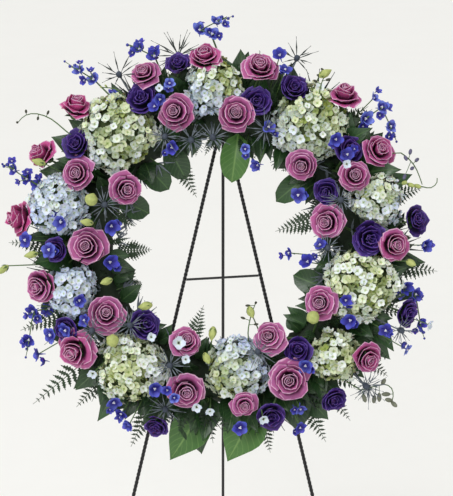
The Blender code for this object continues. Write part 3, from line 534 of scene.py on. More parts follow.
def build_finishes():
    hydrangea_finish()
    for make, looks in ((petal_finish, PETAL_LOOKS), (leaf_finish, LEAF_LOOKS), (plain_finish, PLAIN_LOOKS)):
        for name, look in looks.items():
            make(name, *look)
    for node, look in FRAME_LOOKS.items():
        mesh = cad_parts[node].data
        mesh.materials.clear()
        mesh.materials.append(bpy.data.materials[look])


# Moulds: small meshes modelled once, and bent or placed as arrays


class Mould:
    """A small mesh as arrays: its points, its faces' corners and their counts, and its marks along."""

    def __init__(self, points, corners, sizes, along=0.5):
        self.points = points
        self.corners = corners
        self.sizes = sizes
        self.along = along


def mesh_points(mesh):
    points = np.zeros(len(mesh.vertices) * 3)
    mesh.vertices.foreach_get("co", points)
    return points.reshape(-1, 3)


def mould_of(thing):
    """A modelled thing as a mould."""
    mesh = thing.data
    corners = np.zeros(len(mesh.loops), int)
    mesh.loops.foreach_get("vertex_index", corners)
    sizes = np.zeros(len(mesh.polygons), int)
    mesh.polygons.foreach_get("loop_total", sizes)
    mould = Mould(mesh_points(mesh), corners, sizes)
    bpy.data.objects.remove(thing)
    return mould


def sheet_mould(across, along):
    """A square sheet from -1 to 1 with a wall one unit behind it."""
    bpy.ops.mesh.primitive_grid_add(x_subdivisions=across, y_subdivisions=along, size=2)
    sheet = bpy.context.object
    wall = sheet.modifiers.new("wall", "SOLIDIFY")
    wall.thickness = 1.0
    wall.offset = -1.0
    bpy.ops.object.modifier_apply(modifier="wall")
    return mould_of(sheet)


def bead_mould(rounds):
    """A ball of radius 1."""
    bpy.ops.mesh.primitive_ico_sphere_add(subdivisions=rounds, radius=1.0)
    return mould_of(bpy.context.object)


def tube_mould(sides, steps):
    """A closed bar round Z from 0 to 1, radius 1, cut into steps."""
    bpy.ops.mesh.primitive_cylinder_add(vertices=sides, radius=1.0, depth=1.0, location=(0, 0, 0.5))
    bpy.ops.object.transform_apply(location=True)
    bpy.ops.object.mode_set(mode="EDIT")
    for k in range(1, steps):
        bpy.ops.mesh.select_all(action="SELECT")
        bpy.ops.mesh.bisect(plane_co=(0, 0, k / steps), plane_no=(0, 0, 1))
    bpy.ops.object.mode_set(mode="OBJECT")
    return mould_of(bpy.context.object)


def floret_mould(cup):
    """A floret of four round petals, radius 1."""
    heap = Heap()
    for k in range(4):
        turn = math.pi / 2 * k

        def surface(across, along):
            length = 0.1 + 0.9 * along
            half = 0.62 * np.sin(np.pi * np.clip(0.12 + 0.78 * along, 0, 1)) ** 0.8
            height = cup * along ** 1.5 + 0.14 * across ** 2 * along + 0.06 * k
            return np.stack((*turned(length, across * half, turn), height), axis=1)

        heap.sheet("small_petal", surface, -0.05, "hydrangea_petal")
    heap.add("seed", MOULDS["seed"].points * 0.12, "hydrangea_petal", 0.0)
    points, marks, corners, sizes, _ = heap.gathered()
    return Mould(points, corners, sizes, marks[:, 0])


def build_moulds():
    sheets = {
        "petal": (5, 6), "small_petal": (2, 2), "leaflet": (2, 4), "sliver": (1, 4), "leaf": (4, 8),
        "pinna": (2, 10), "cover": (14, 40),
    }
    beads = {"bead": 3, "seed": 1, "round_seed": 2}
    tubes = {"stem": (6, 8), "long_stem": (6, 12), "twig": (5, 4), "wire": (4, 440)}
    MOULDS.update({name: sheet_mould(*cuts) for name, cuts in sheets.items()})
    MOULDS.update({name: bead_mould(rounds) for name, rounds in beads.items()})
    MOULDS.update({name: tube_mould(*cuts) for name, cuts in tubes.items()})
    MOULDS["white_floret"] = floret_mould(WHITE_FLORET_CUP)
    for k, cup in enumerate(FLORET_CUPS):
        MOULDS[f"floret_{k}"] = floret_mould(cup)


class Heap:
    """Copies of moulds gathered into one piece, each with its finish and its marks."""

    def __init__(self, node=None, number=0):
        self.node = node
        self.number = number
        self.copies = []
        self.looks = []
        self.count = 0

    def add(self, name, points, look, along=None, across=0.0, tone=0.5):
        """Add a copy of a mould, its points in the plane of the wreath."""
        mould = MOULDS[name]
        marks = np.empty((len(points), 3))
        marks[:, 0] = mould.along if along is None else along
        marks[:, 1] = across
        marks[:, 2] = tone
        if look not in self.looks:
            self.looks.append(look)
        looks = np.full(len(mould.sizes), self.looks.index(look))
        self.copies.append((points, marks, mould.corners + self.count, mould.sizes, looks))
        self.count += len(points)

    def sheet(self, name, surface, thickness, look, place=None, tone=0.5):
        """Bend a sheet onto a surface of two shares, and mark how far along and across it goes."""
        shape = MOULDS[name].points
        across = shape[:, 0]
        along = (shape[:, 1] + 1) / 2
        behind = -shape[:, 2:]
        step = 1e-3
        here = surface(across, along)
        normal = np.cross(surface(across + step, along) - here, surface(across, along + step) - here)
        normal /= norm(normal, axis=1)[:, None] + 1e-12
        points = here - normal * behind * thickness
        self.add(name, place(points) if place else points, look, along, across, tone)

    def tube(self, name, path, radii, look="green_stem", tone=0.5):
        """Draw a bar along a path of points."""
        path = np.asarray(path, float)
        shape = MOULDS[name].points
        shares = shape[:, 2] * (len(path) - 1)
        low = np.minimum(shares.astype(int), len(path) - 2)
        part = (shares - low)[:, None]
        centres = path[low] * (1 - part) + path[low + 1] * part
        slopes = np.gradient(path, axis=0)
        along = slopes[low] * (1 - part) + slopes[low + 1] * part
        along /= norm(along, axis=1)[:, None]
        steep = abs(unit(path[-1] - path[0])[2]) >= 0.8
        side = np.cross(along, (1.0, 0.1, 0.0) if steep else (0.31, 0.12, 0.94))
        side /= norm(side, axis=1)[:, None]
        other = np.cross(along, side)
        radius = np.interp(shape[:, 2], np.linspace(0, 1, len(radii)), radii)[:, None]
        points = centres + (side * shape[:, :1] + other * shape[:, 1:2]) * radius
        self.add(name, points, look, shape[:, 2], 0.0, tone)

    def gathered(self):
        """The points, marks, faces' corners and their counts, and the faces' looks, of all copies."""
        return [np.concatenate(rows) for rows in zip(*self.copies)]

    def finished(self, name):
        """Make the piece, and let it stand for its node."""
        points, marks, corners, sizes, looks = self.gathered()
        mesh = bpy.data.meshes.new(name)
        mesh.vertices.add(len(points))
        mesh.vertices.foreach_set("co", to_world(points).ravel())
        mesh.loops.add(len(corners))
        mesh.loops.foreach_set("vertex_index", corners)
        mesh.polygons.add(len(sizes))
        mesh.polygons.foreach_set("loop_start", np.cumsum(sizes) - sizes)
        mesh.polygons.foreach_set("loop_total", sizes)
        for look in self.looks:
            mesh.materials.append(bpy.data.materials[look])
        mesh.polygons.foreach_set("material_index", looks)
        mesh.attributes.new("marks", "FLOAT_VECTOR", "POINT").data.foreach_set("vector", marks.ravel())
        mesh.update(calc_edges=True)
        mesh.validate()
        piece = bpy.data.objects.new(name, mesh)
        bpy.context.scene.collection.objects.link(piece)
        bpy.ops.object.select_all(action="DESELECT")
        piece.select_set(True)
        bpy.context.view_layer.objects.active = piece
        bpy.ops.object.shade_smooth_by_angle(angle=math.radians(50))
        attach(piece, BODY)
        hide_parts(self.node)


def build(kind, name, draw, catalogue):
    """A piece for each entry of a catalogue, in place of the node with the entry's number."""
    for number, entry in enumerate(catalogue, 1):
        heap = Heap(f"{kind}_{number:02d}", number)
        draw(heap, entry)
        heap.finished(f"{name}_{number:02d}")


# Blooms


def node_points(node):
    """A node's points in the plane of the wreath."""
    return to_plane(mesh_points(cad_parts[node].data))


def stem_foot(node):
    """Where a node's stem stands in the foam, read from its lowest points."""
    points = node_points(node)
    return points[points[:, 2] < points[:, 2].min() + 1.0].mean(0)


def draw_stem(heap, end, radius=2.2, look="green_stem"):
    """A stem from the foam that leans over to a bloom in one curve."""
    foot = stem_foot(heap.node)
    bend_point = foot + np.array((0.0, 0.0, STEM_KNEE))
    shares = np.linspace(0, 1, 9)[:, None]
    path = foot * (1 - shares) ** 2 + bend_point * 2 * shares * (1 - shares) + np.asarray(end) * shares ** 2
    heap.tube("stem", path, (radius, radius * 0.9), look)


def draw_stalk(heap, place, radii, look="green_stem", short=0.0):
    """A thin stalk from the greenery up to a place, or a little short of it."""
    root = bed_point(*place[:2])
    heap.tube("twig", (root, (root + place) / 2 + (0, 0, STALK_RISE), place - short), radii, look)


def cup_surface(turn, wrap, rim_r, rim_z, foot_z, curl, tip, ruffle, phase, lean):
    """A petal of a cupped bloom of radius 1, from its foot to its rolled rim."""
    def surface(across, along):
        edge = np.abs(across)
        lift = along * (1 - 0.16 * edge ** 2.6) + tip * along ** 3 * np.clip(1 - edge, 0, 1) ** 1.6
        spread = 0.38 + 0.62 * np.sin(np.pi / 2 * np.clip(lift / 0.6, 0, 1))
        angle = turn + across * wrap * spread
        swell = np.sin(np.pi / 2 * np.clip(lift, 0, 1.15)) ** 0.75
        radius = 0.1 + (rim_r - 0.1) * swell
        roll = np.clip((lift - 0.7) / 0.3, 0, 1.5) ** 2
        wave = ruffle * np.sin(across * 5.0 + phase) * lift ** 3
        fold = 0.4 + 0.8 * edge ** 1.5
        radius = radius + curl * roll * fold + wave * 0.6 + 0.05 * edge ** 3 * lift
        height = foot_z + (rim_z - foot_z) * lift ** 0.9 - curl * roll * fold + wave
        offset = np.clip(lift, 0, 1)
        x = radius * np.cos(angle) + lean[0] * offset
        y = radius * np.sin(angle) + lean[1] * offset
        return np.stack((x, y, height), axis=1)
    return surface


def draw_bloom(heap, centre, facing, radius, layers, look, tone, ruffle, uneven):
    """Layers of petals, each turned on from the one inside it, over a green calyx."""
    local = basis(facing, spin())

    def place(points):
        return centre + points * radius @ local

    turn = 0.0
    off_way = spin()
    off = uniform(0.06, 0.2)
    for petals, wrap, rim_r, rim_z, foot_z, curl, tip in layers:
        lean = circle(off_way) * (off * (1 - rim_r))
        for _ in range(petals):
            turn += 2 * math.pi / petals + uniform(-0.3, 0.3)
            size = 1 + uniform(-uneven, uneven * 0.8)
            surface = cup_surface(
                turn, math.radians(wrap) * uniform(0.88, 1.08), rim_r * size,
                rim_z + uniform(-0.6, 0.6) * uneven, foot_z, curl * uniform(0.4, 1.5), tip,
                ruffle, spin(), lean)
            heap.sheet("petal", surface, 0.022, look, place, within(tone + uniform(-0.12, 0.12)))
        turn += math.radians(37)
    foot_z = layers[-1][4]
    calyx = MOULDS["bead"].points * (0.26, 0.26, 0.2) + (0, 0, foot_z - 0.02)
    heap.add("bead", place(calyx), "green_stem")
    for k in range(5):
        out = circle(2 * math.pi * k / 5)
        root = out * 0.1 + (0, 0, foot_z)
        sepal = leaf_surface(root, out * 0.78 + (0, 0, foot_z + 0.22), 0.26, (0, 0, -1), 0.25, -0.12)
        heap.sheet("leaflet", sepal, 0.03, "broad_leaf", place, 0.6)
    return place(np.array((0.0, 0.0, foot_z - 0.1)))


def bloom_places(catalogue, sink=0.0, facings=None):
    """Centre, facing and radius of every bloom."""
    return [
        (dome_place(across, up, sink), unit((facings or {}).get(k, dome_facing(across, up))), radius)
        for k, (across, up, radius) in enumerate(catalogue)
    ]


ROSE_PLACES = bloom_places(ROSES, 0.0, ROSE_FACINGS)
LISIANTHUS_PLACES = bloom_places(LISIANTHUS, LISIANTHUS_DROP)
CUPS = ROSE_PLACES + LISIANTHUS_PLACES
# The balls that the cupped blooms fill, which no hydrangea floret stands in
CUP_BALLS = [(centre - facing * radius * 0.3, radius) for centre, facing, radius in CUPS]


def draw_roses(heap, members):
    for k in members:
        tone = STRONG_PINK.get(k, 0.1) + uniform(-0.05, 0.1)
        layers = TALL_ROSE_LAYERS if k in ROSE_FACINGS else ROSE_LAYERS
        draw_stem(heap, draw_bloom(heap, *ROSE_PLACES[k], layers, "rose_petal", tone, 0.03, 0.11))


def draw_lisianthus(heap, members):
    for k in members:
        place = LISIANTHUS_PLACES[k]
        tone = uniform(0.1, 0.6)
        draw_stem(heap, draw_bloom(heap, *place, LISIANTHUS_LAYERS, "lisianthus_petal", tone, 0.1, 0.14))


def floret_tint(number, tints, direction, out):
    """How blue and how green a floret is: by its side of the head, and greener where it sits deep, as
    painted shade.
    """
    if number == SIDEWAYS_TINT:
        share = (direction[0] - direction[1]) * 0.35 + 0.5
    else:
        share = (direction[0] + direction[1]) * 0.45 + 0.5
    share = within(share + uniform(-0.25, 0.25))
    blue, green = (low * (1 - share) + high * share for low, high in zip(*tints))
    blue = within(blue + uniform(-0.3, 0.2))
    # Florets sunk into the head turn greener: painted shade of the hollows between florets.
    green = within(green + uniform(-0.35, 0.3) + (0.94 - out) * 3.5)
    return blue, green


def draw_hydrangea(heap, entry):
    """A mop head: a green core, its dark colour painted shade for the gaps, covered all round with
    four-petalled florets.
    """
    (across, up, radius), tints = entry
    number = heap.number
    centre = np.array((across, up, HYDRANGEA_OUT))
    radii = np.array((radius, radius, HYDRANGEA_UP))
    core = MOULDS["bead"].points * radii * 0.78
    core[:, 2] = np.maximum(core[:, 2], -HYDRANGEA_DOWN * 0.7)
    heap.add("bead", centre + core, "hydrangea_core")
    total = int(HYDRANGEA_CROWDING * (radius / HYDRANGEA_FLORET) ** 2)
    for k in range(total):
        height = 1 - HYDRANGEA_REACH * (k + 0.5) / total
        turn = k * GOLDEN_ANGLE
        flat = math.sqrt(1 - height * height)
        direction = unit(circle(turn) * flat + (0, 0, height) + jitter(0.08))
        sizes = radii if direction[2] > 0 else np.array((radius, radius, HYDRANGEA_DOWN * 2))
        ripple = math.sin(7 * direction[0] + number) * math.sin(7 * direction[1] + 2 * number)
        out = 0.91 + 0.09 * (math.sin(3 * turn + number) * flat + ripple) + uniform(-0.17, 0.08)
        place = centre + direction * sizes * out
        if any(norm(place - ball) < full for ball, full in CUP_BALLS):
            continue
        normal = unit(direction / sizes + jitter(0.5) / radius)
        size = HYDRANGEA_FLORET * uniform(0.78, 1.2)
        name = f"floret_{k % 3}"
        points = place + MOULDS[name].points * size @ basis(normal, spin())
        heap.add(name, points, "hydrangea_petal", None, *floret_tint(number, tints, direction, out))
    draw_stem(heap, centre - (0, 0, HYDRANGEA_DOWN), 3.0)


def five_petals(heap, centre, facing, radius, tone):
    """A delphinium floret: five broad petals round a pale bee, with a spur behind."""
    local = basis(facing, spin())

    def place(points):
        return centre + points * radius @ local

    cup = uniform(0.0, 0.75)
    for k in range(5):
        turn = 2 * math.pi / 5 * k + uniform(-0.2, 0.2)
        rise = cup + uniform(-0.1, 0.35)
        reach = uniform(0.8, 1.1) * (1 - 0.25 * cup)
        twist = uniform(-0.5, 0.5)

        def surface(across, along):
            length = 0.06 + reach * along
            half = 0.5 * np.sin(np.pi * np.clip(0.08 + 0.87 * along, 0, 1) ** 0.9) ** 0.8
            height = rise * along ** 1.6 + 0.3 * across ** 2 * half + twist * across * half * along - 0.1
            return np.stack((*turned(length, across * half, turn), height), axis=1)

        shade = within(tone + uniform(0, 0.2))
        heap.sheet("leaflet", surface, -0.05, "delphinium_petal", place, shade)
    for k in range(3):
        spot = circle(2.1 * k) * 0.1 + (0, 0, 0.1)
        heap.add("seed", place(MOULDS["seed"].points * (0.1, 0.1, 0.17) + spot), "delphinium_bee")
    spur = place(np.array(((0, 0, -0.05), (0.1, 0, -0.5), (0.35, 0, -0.9))))
    heap.tube("twig", spur, (radius * 0.13, radius * 0.04), "delphinium_petal", tone)


def draw_spray(heap, spray):
    """Florets up a stem, the second with two side florets, and closed buds at the tip."""
    foot = stem_foot(heap.node)
    places = [np.array(place, float) for place in spray]
    last = unit(places[-1] - places[-2])
    path = [foot, foot + (0, 0, STEM_KNEE), *places, places[-1] + last * 22]
    heap.tube("long_stem", path, (2.2, 1.8, 1.2, 0.8))
    for k, place in enumerate(places):
        facing = unit(unit((place[0], place[1], 0)) * 0.5 + (0, 0, 0.9) + last * 0.2)
        tone = 0.7 if heap.number in PALE_SPRAYS else uniform(0, 0.3)
        five_petals(heap, place, facing, FLORET_R * (1.05 - 0.1 * k), tone)
        around = unit(np.cross(last, facing))
        for way in (-1, 1) if k == 1 else (1,):
            spot = place + last * uniform(6, 14) + around * way * uniform(9, 14)
            heap.tube("twig", (place, (place + spot) / 2 + (0, 0, 3), spot), (0.8, 0.8))
            size = FLORET_R * uniform(0.5, 0.75)
            five_petals(heap, spot, unit(facing + around * way * 0.7), size, uniform(0, 0.3))
    for k in range(3):
        spot = places[-1] + last * (14 + 8 * k) + jitter(4)
        heap.tube("twig", (places[-1] + last * 6 * k, spot), (0.7, 0.7))
        size = 4.2 - 0.8 * k
        heap.add("seed", spot + MOULDS["seed"].points * (size, size, size * 1.3), "delphinium_petal")


def draw_delphinium(heap, entry):
    """A spray, and the loose florets between the blooms near it."""
    spray, between = entry
    draw_spray(heap, spray)
    for pixel in between:
        across, up = photo_place(pixel)
        facing = unit(dome_facing(across, up) + jitter(0.4))
        pale = pixel in PALE_FLORETS
        place = dome_place(across, up, -15 if pale else uniform(-4, 8))
        draw_stalk(heap, place, (1.3, 1.0))
        size = FLORET_R * (0.75 if pale else uniform(0.8, 1.05))
        five_petals(heap, place, facing, size, 1.0 if pale else uniform(0, 0.35))
        side = place + (uniform(-14, 14), uniform(-14, 14), -6)
        five_petals(heap, side, facing, FLORET_R * uniform(0.5, 0.7), uniform(0, 0.3))


# Leaves


def leaf_surface(root, tip, width, face, fold, arch, teeth=0.0, count=8, blunt=False):
    """A leaf from root to tip, facing one way, folded at its rib and arched."""
    root = np.asarray(root, float)
    span = np.asarray(tip, float) - root
    across_way = unit(np.cross(span, face))
    out_way = np.cross(across_way, unit(span))
    length = norm(span)

    def surface(across, along):
        share = np.clip(along, 0, 1)
        edge = np.abs(across)
        if blunt:
            outline = np.sin(np.pi * share ** 0.95) ** 0.5
        else:
            outline = np.sin(np.pi * share ** 0.72) ** 0.85 * (1 - 0.35 * share ** 3) + 0.04 * (1 - share)
        if teeth:
            outline = outline * (1 - teeth * (0.5 + 0.5 * np.cos(2 * np.pi * count * along)) * edge)
        half = width / 2 * np.maximum(outline, 0.012)
        lift = arch * length * 4 * along * (1 - along) + fold * edge ** 1.3 * half
        lift = lift + 0.05 * width * np.sin(along * 9 + across * 2) * edge
        side = across * half
        return root + span * along[:, None] + across_way * side[:, None] + out_way * lift[:, None]
    return surface


def draw_leaf(heap, root, tip, width, face=(0, 0, 1), fold=0.35, arch=0.12, look="broad_leaf", tone=0.5,
              mould="leaf", blunt=False):
    surface = leaf_surface(root, tip, width, face, fold, arch, blunt=blunt)
    heap.sheet(mould, surface, 0.7, look, None, tone)


def draw_frond(heap, root, tip, width, face=(0, 0, 1), pairs=11, tone=0.4, mould="pinna"):
    """A leathery fern frond, its leaflets lobed, longest low down and swept towards the tip."""
    span = tip - root
    length = norm(span)
    ahead = unit(span)
    across = unit(np.cross(span, face))
    out = np.cross(across, ahead)
    teeth = 0.62 if mould == "pinna" else 0.0

    def rib(share):
        return root + span * share + out * FROND_ARCH * length * 4 * share * (1 - share)

    heap.tube("twig", [rib(share) for share in np.linspace(0, 1, 9)], (1.3, 0.4), "fern_leaf", tone)
    for k in range(pairs):
        share = 0.2 + 0.78 * k / pairs
        reach = width * (1.05 - share) * min(1.0, 0.55 + 1.8 * (share - 0.2)) * uniform(0.92, 1.08)
        start = rib(share)
        for way in (-1, 1):
            end = start + across * way * reach * 0.86 + ahead * reach * 0.5 - out * reach * 0.12
            surface = leaf_surface(start, end, min(reach * 0.42, length * 0.1), out, 0.2, 0.05, teeth, 5)
            heap.sheet(mould, surface, 0.5, "fern_leaf", None, tone)


def blade_root(tip):
    """Where a frond or leaf with this tip leaves the bed."""
    radius = math.hypot(tip[0], tip[1])
    root_r = MID_R + (BED_HALF if radius > MID_R else -BED_HALF)
    return np.array((tip[0] / radius * root_r, tip[1] / radius * root_r, BLADE_ROOT_OUT))


def in_bed(across, up, bed):
    turn = math.degrees(math.atan2(up, across)) % 360
    return BED_JOINTS[bed] <= turn < BED_JOINTS[bed + 1]


def draw_cover(heap, start, end):
    """The mass of leaf bases over the foam."""
    shape = MOULDS["cover"].points
    turn = np.radians(start + (end - start) * (shape[:, 1] + 1) / 2)
    around = shape[:, 0] * 1.45
    lump = 2.0 * np.sin(turn * 47) * np.cos(around * 5) + 1.5 * np.sin(turn * 83 + around * 7)
    thick = 4 * -shape[:, 2]
    radius = MID_R + (42 + lump) * np.sin(around) - thick * np.sin(around)
    out = 18 + (30 + lump) * np.cos(around) - thick * np.cos(around)
    heap.add("cover", np.stack((radius * np.cos(turn), radius * np.sin(turn), out), axis=1), "bed_of_leaves")


def build_greenery(blooms):
    """Six lengths of ferns, broad leaves and fillers that hide the foam."""
    for bed, (start, end) in enumerate(zip(BED_JOINTS, BED_JOINTS[1:])):
        heap = Heap(f"greenery_{bed + 1}")
        draw_cover(heap, start, end)
        for *tip, width in FRONDS:
            if in_bed(tip[0], tip[1], bed):
                draw_frond(heap, blade_root(tip), np.array(tip, float), width * 1.05)
        for *tip, width in LEAVES:
            if in_bed(tip[0], tip[1], bed):
                look = "bright_leaf" if (tip[0], tip[1]) == BRIGHT_TIP else "broad_leaf"
                blunt = math.hypot(tip[0], tip[1]) < MID_R
                tone = uniform(0.3, 0.8)
                draw_leaf(heap, blade_root(tip), tip, width, look=look, tone=tone, blunt=blunt)
        for root, tip, width, look, tone in BIG_LEAVES:
            if in_bed(tip[0], tip[1], bed):
                draw_leaf(heap, root, tip, width, look=look, tone=tone)
        draw_fillers(heap, start, end, blooms)
        for pixel in BUDS:
            if in_bed(*photo_place(pixel), bed):
                draw_bud(heap, *photo_place(pixel), pixel in ROUND_BUDS)
        for pixel, size in WHITE_FLOWERS:
            if in_bed(*photo_place(pixel), bed):
                draw_white_flower(heap, *photo_place(pixel), size)
        for stem, buds, size, look in SPRIGS:
            if in_bed(*photo_place(stem[0]), bed):
                draw_sprig(heap, stem, buds, size, look)
        heap.finished(f"greenery_bed_{bed + 1}")


def covered(spot, blooms):
    """Whether a leaf's tip would stand in a bloom or before it."""
    return any(
        math.dist(spot[:2], centre[:2]) < radius * 0.95 and spot[2] > centre[2] - radius * 0.5
        for centre, radius in blooms)


def draw_fillers(heap, start, end, blooms):
    """Leaves, ferns and spikes that fill the bed between the blooms and round its edges."""
    steps = int((end - start) / FILLER_STEP)
    for k in range(steps):
        turn = start + (end - start) * (k + 0.5) / steps
        for side, short, long, low, high in FILLERS:
            swing = math.radians(turn + uniform(-FILLER_STEP, FILLER_STEP))
            radial = circle(swing)
            around = np.array((-radial[1], radial[0], 0.0))
            drift = radial * (side or uniform(-0.7, 0.7)) + around * uniform(-0.6, 0.6)
            way = unit(drift + (0, 0, uniform(low, high)))
            off = side * BED_HALF if side else uniform(-30, 30)
            root = radial * (MID_R + off) + (0, 0, uniform(28, 44))
            length = uniform(short, long)
            while covered(root + way * length, blooms) and length > short * 0.5:
                length *= 0.85
            tip = root + way * length
            face = unit(radial * side * 0.3 + (0, 0, 1.0))
            kind = uniform(0, 1)
            tone = uniform(0.0, 0.6)
            if kind < FERN_SHARE:
                draw_frond(heap, root, tip, length * 0.36, face, 8, tone, "sliver")
            elif kind < FERN_AND_SPIKE_SHARE:
                draw_spikes(heap, root, tip, around, face, "thistle_bract" if side < 1 else "dark_bract")
            else:
                width = length * uniform(0.44, 0.66)
                fold = uniform(0.1, 0.45)
                draw_leaf(heap, root, tip, width, face, fold, uniform(0.05, 0.18), tone=tone)


def draw_spikes(heap, root, tip, around, face, look):
    """A fan of thin stiff blades."""
    length = norm(tip - root)
    base = root + (tip - root) * 0.35
    heap.tube("twig", (root, (root + base) / 2, base), (1.2, 1.0))
    for k in range(5):
        end = tip + around * length * (k - 2) * 0.24 - (tip - root) * 0.06 * (k - 2) ** 2 + jitter(4)
        draw_leaf(heap, base, end, 3.2, face, 0.2, 0.04, look, 0.3, "leaflet")


def draw_white_flower(heap, across, up, size):
    """A small filler flower of four round petals on a thin stalk."""
    place = dome_place(across, up, -16.0)
    draw_stalk(heap, place, (1.2, 0.9))
    local = basis(dome_facing(across, up) + (0.1, -0.2, 0.0), spin())
    petals = place + MOULDS["white_floret"].points * size @ local
    heap.add("white_floret", petals, "hydrangea_petal", None, 0.6, 0.1)
    heap.add("seed", place + MOULDS["seed"].points * size * 0.22 + local[2] * size * 0.12, "dark_bud")


def smooth(path):
    """A path with its corners cut twice."""
    path = np.asarray(path, float)
    for _ in range(2):
        near = path[:-1] * 0.75 + path[1:] * 0.25
        far = path[:-1] * 0.25 + path[1:] * 0.75
        path = np.concatenate((path[:1], np.stack((near, far), axis=1).reshape(-1, 3), path[-1:]))
    return path


def draw_sprig(heap, stem, buds, size, look):
    """A thin stem across the photograph's pixels, with its buds on short stalks."""
    first = bed_point(*photo_place(stem[0]))
    path = smooth([first] + [dome_place(*photo_place(pixel), -4.0) for pixel in stem])
    heap.tube("long_stem", path, (1.3, 1.1, 0.8))
    for pixel in buds:
        place = dome_place(*photo_place(pixel), -4.0 - uniform(0, 8))
        nearest = min(path[1:], key=lambda point: norm(point - place))
        way = place - nearest
        if norm(way) > 1:
            heap.tube("twig", (nearest, nearest + way * 0.5 + (0, 0, 2), place), (0.7, 0.6))
        shape = MOULDS["round_seed"].points * (size * 0.68, size * 0.68, size * 1.45)
        heap.add("round_seed", place + shape @ basis(unit(way + (0.1, 0.2, 0.3))), look)


def draw_bud(heap, across, up, round_one):
    """A lisianthus bud, pointed or round, in a calyx of thin sepals."""
    place = dome_place(across, up, -10.0)
    outward = unit((across, up, 0))
    drift = jitter(0.5)
    axis = unit(outward * uniform(0.6, 1.2) + (0, 0, 0.35) + drift)
    draw_stalk(heap, place, (1.4, 1.1), short=axis * 6)
    local = basis(axis)
    points = MOULDS["bead"].points
    ribs = 1 + 0.07 * np.cos(5 * np.arctan2(points[:, 1], points[:, 0]) + 3 * points[:, 2])
    taper = ribs * (1 - (0.2 if round_one else 0.65) * np.clip(points[:, 2], 0, 1) ** 1.5)
    thick, tall = (11.5, 12.0) if round_one else (uniform(5.8, 7.6), 13.5)
    points = points * np.stack((thick * taper, thick * taper, np.full(len(points), tall)), axis=1)
    heap.add("bead", place + points @ local + axis * 6, "green_bud")
    for k in range(5):
        out = swung(local[0], local[1], 2 * math.pi * k / 5)
        draw_leaf(heap, place - axis * 7, place + out * 8 + axis * 3, 3.5, out, 0.1, 0.1, "green_stem")


# Sea holly


def draw_thistle(heap, place, axis, needle, bracts, width, look):
    """A spined cone in a ruff of long thin bracts."""
    local = basis(axis, spin())
    cone = MOULDS["bead"].points
    bumps = 1 + 0.16 * np.sin(cone[:, 0] * 14) * np.sin(cone[:, 1] * 14 + 1) * np.cos(cone[:, 2] * 12)
    cone = cone * bumps[:, None] * (5.6, 5.6, 8.5)
    heap.add("bead", place + cone @ local + unit(axis) * 4, "thistle_head")
    for k in range(bracts):
        out = swung(local[0], local[1], 2 * math.pi * k / bracts + uniform(-0.18, 0.18))
        way = unit(out + local[2] * uniform(0.05, 0.7))
        length = needle * uniform(0.7, 1.15)
        bract = leaf_surface(place + way * 2, place + way * length, width, local[2], 0.4, 0.04, 0.45, 4)
        heap.sheet("leaflet", bract, 0.6, look)
        if k % 2:
            branch = unit(way + np.cross(way, local[2]) * 0.45)
            start = place + way * length * 0.3
            fork = leaf_surface(start, start + branch * length * 0.4, width * 0.5, local[2], 0.2, 0.0)
            heap.sheet("sliver", fork, 0.5, look)


def draw_sea_holly(heap, entry):
    """A head on its own stem, and the further heads between the blooms near it."""
    place, between = entry
    place = np.array(place, float)
    axis = unit(unit((place[0], place[1], 0)) * 0.4 + (0, 0, 1))
    draw_thistle(heap, place, axis, *THISTLE_SHAPES["dark" if heap.number in DARK_THISTLES else "pale"])
    draw_stem(heap, place, 1.8, "thistle_bract")
    for pixel in between:
        across, up = photo_place(pixel)
        behind = pixel == THISTLE_BEHIND
        place = dome_place(across, up, 34 if behind else uniform(0, 8))
        draw_stalk(heap, place, (1.6, 1.4), "thistle_bract")
        if behind:
            draw_thistle(heap, place, unit((across, up, 900)), *THISTLE_SHAPES["behind"])
        else:
            draw_thistle(heap, place, dome_facing(across, up), *THISTLE_SHAPES["between"])


# Easel


def build_front_legs():
    """Square wire twisted along its length, in place of the plain front legs."""
    wire = MOULDS["wire"].points
    share = wire[:, 2]
    x, y = turned(wire[:, 0], wire[:, 1], share * LEG_TURNS * 2 * np.pi)
    for side in ("left", "right"):
        heap = Heap(f"front_leg_{side}")
        points = node_points(heap.node)
        ordered = points[np.argsort(points[:, 1])]
        half = len(ordered) // 2
        foot = ordered[:half].mean(0)
        top = ordered[half:].mean(0)
        first = unit(np.cross(unit(top - foot), (0, 0, 1)))
        second = np.cross(unit(top - foot), first)
        centres = foot + (top - foot) * share[:, None]
        shape = to_world(centres + (first * x[:, None] + second * y[:, None]) * LEG_WIRE_R)
        # The foot is cut level with the floor
        shape[share < 1e-6, 2] = 0.0
        heap.add("wire", to_plane(shape), "black_wire")
        heap.finished(f"twisted_leg_{side}")


# Studio


def build_stage():
    """A pale floor that fills the photograph's view behind the wreath."""
    bpy.ops.mesh.primitive_grid_add(x_subdivisions=4, y_subdivisions=4, size=80.0, location=(0, 0, 0))
    floor = bpy.context.object
    floor.name = "studio_floor"
    floor.data.materials.append(bpy.data.materials["pale_floor"])


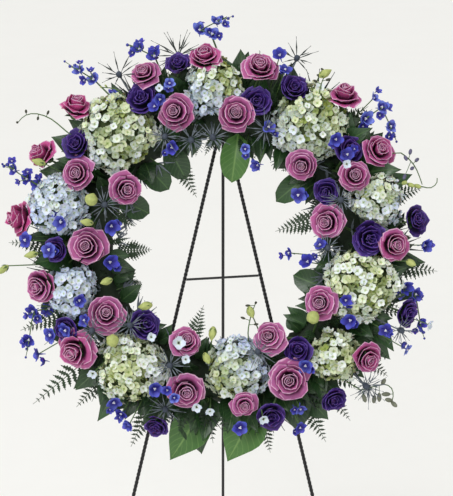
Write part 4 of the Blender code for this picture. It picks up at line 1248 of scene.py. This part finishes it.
def build_light():
    """A soft lamp from the front left, a wide sun and a pale sky."""
    scene = bpy.context.scene
    lamp_place = Vector((-0.9, -2.8, 2.2))
    lamp_aim = Vector((0.0, 0.0, 0.95))
    bpy.ops.object.light_add(type="AREA", location=lamp_place)
    lamp = bpy.context.object
    lamp.name = "front"
    lamp.data.size = 1.2
    lamp.data.energy = 22
    lamp.rotation_euler = (lamp_aim - lamp_place).to_track_quat("-Z", "Y").to_euler()
    towards_sun = Vector((-0.35, -0.42, 1.0))
    bpy.ops.object.light_add(type="SUN", location=(-1.0, -1.2, 3.0))
    sun = bpy.context.object
    sun.name = "wide_sun"
    sun.data.energy = 1.62
    sun.data.angle = math.radians(28)
    sun.rotation_euler = towards_sun.to_track_quat("Z", "Y").to_euler()
    scene.world = bpy.data.worlds.new("studio")
    scene.world.use_nodes = True
    sky = scene.world.node_tree.nodes["Background"]
    sky.inputs[0].default_value = (1.0, 0.99, 0.97, 1.0)
    sky.inputs[1].default_value = 0.52
    scene.view_settings.view_transform = "Standard"


def build_camera():
    """The photograph's view, square onto the plane of the wreath."""
    distance = 2.8
    bloom_plane = 0.1
    data = bpy.data.cameras.new("photo_camera")
    camera = bpy.data.objects.new("photo_camera", data)
    bpy.context.scene.collection.objects.link(camera)
    data.sensor_fit = "HORIZONTAL"
    data.sensor_width = 36.0
    data.lens = 36.0 * (distance - bloom_plane) / (PHOTO_WIDE * PIXEL * MM)
    data.shift_x = (PHOTO_WIDE / 2 - PHOTO_CENTRE[0]) / PHOTO_WIDE
    data.shift_y = (PHOTO_CENTRE[1] - PHOTO_HIGH / 2) / PHOTO_WIDE
    across, up, out = (Vector(row) for row in PLANE)
    turn = Matrix((across, up, out)).transposed()
    place = Vector(CENTRE * MM) + out * distance
    camera.matrix_world = Matrix.Translation(place) @ turn.to_4x4()
    bpy.context.scene.camera = camera


def main():
    bpy.ops.object.select_all(action="DESELECT")
    build_finishes()
    build_camera()
    build_stage()
    build_light()
    build_moulds()
    build("roses", "rose_stem", draw_roses, ROSE_STEMS)
    build("lisianthus", "lisianthus_stem", draw_lisianthus, LISIANTHUS_STEMS)
    build("hydrangea", "hydrangea_head", draw_hydrangea, zip(HYDRANGEAS, HYDRANGEA_TINTS))
    build("delphinium", "delphinium_spray", draw_delphinium, zip(DELPHINIUMS, BLUE_BETWEEN))
    build("thistle", "sea_holly", draw_sea_holly, zip(THISTLES, THISTLES_BETWEEN))
    heads = [(np.array((across, up, HYDRANGEA_OUT)), radius) for across, up, radius in HYDRANGEAS]
    build_greenery([(centre, radius) for centre, _, radius in CUPS] + heads)
    build_front_legs()


main()
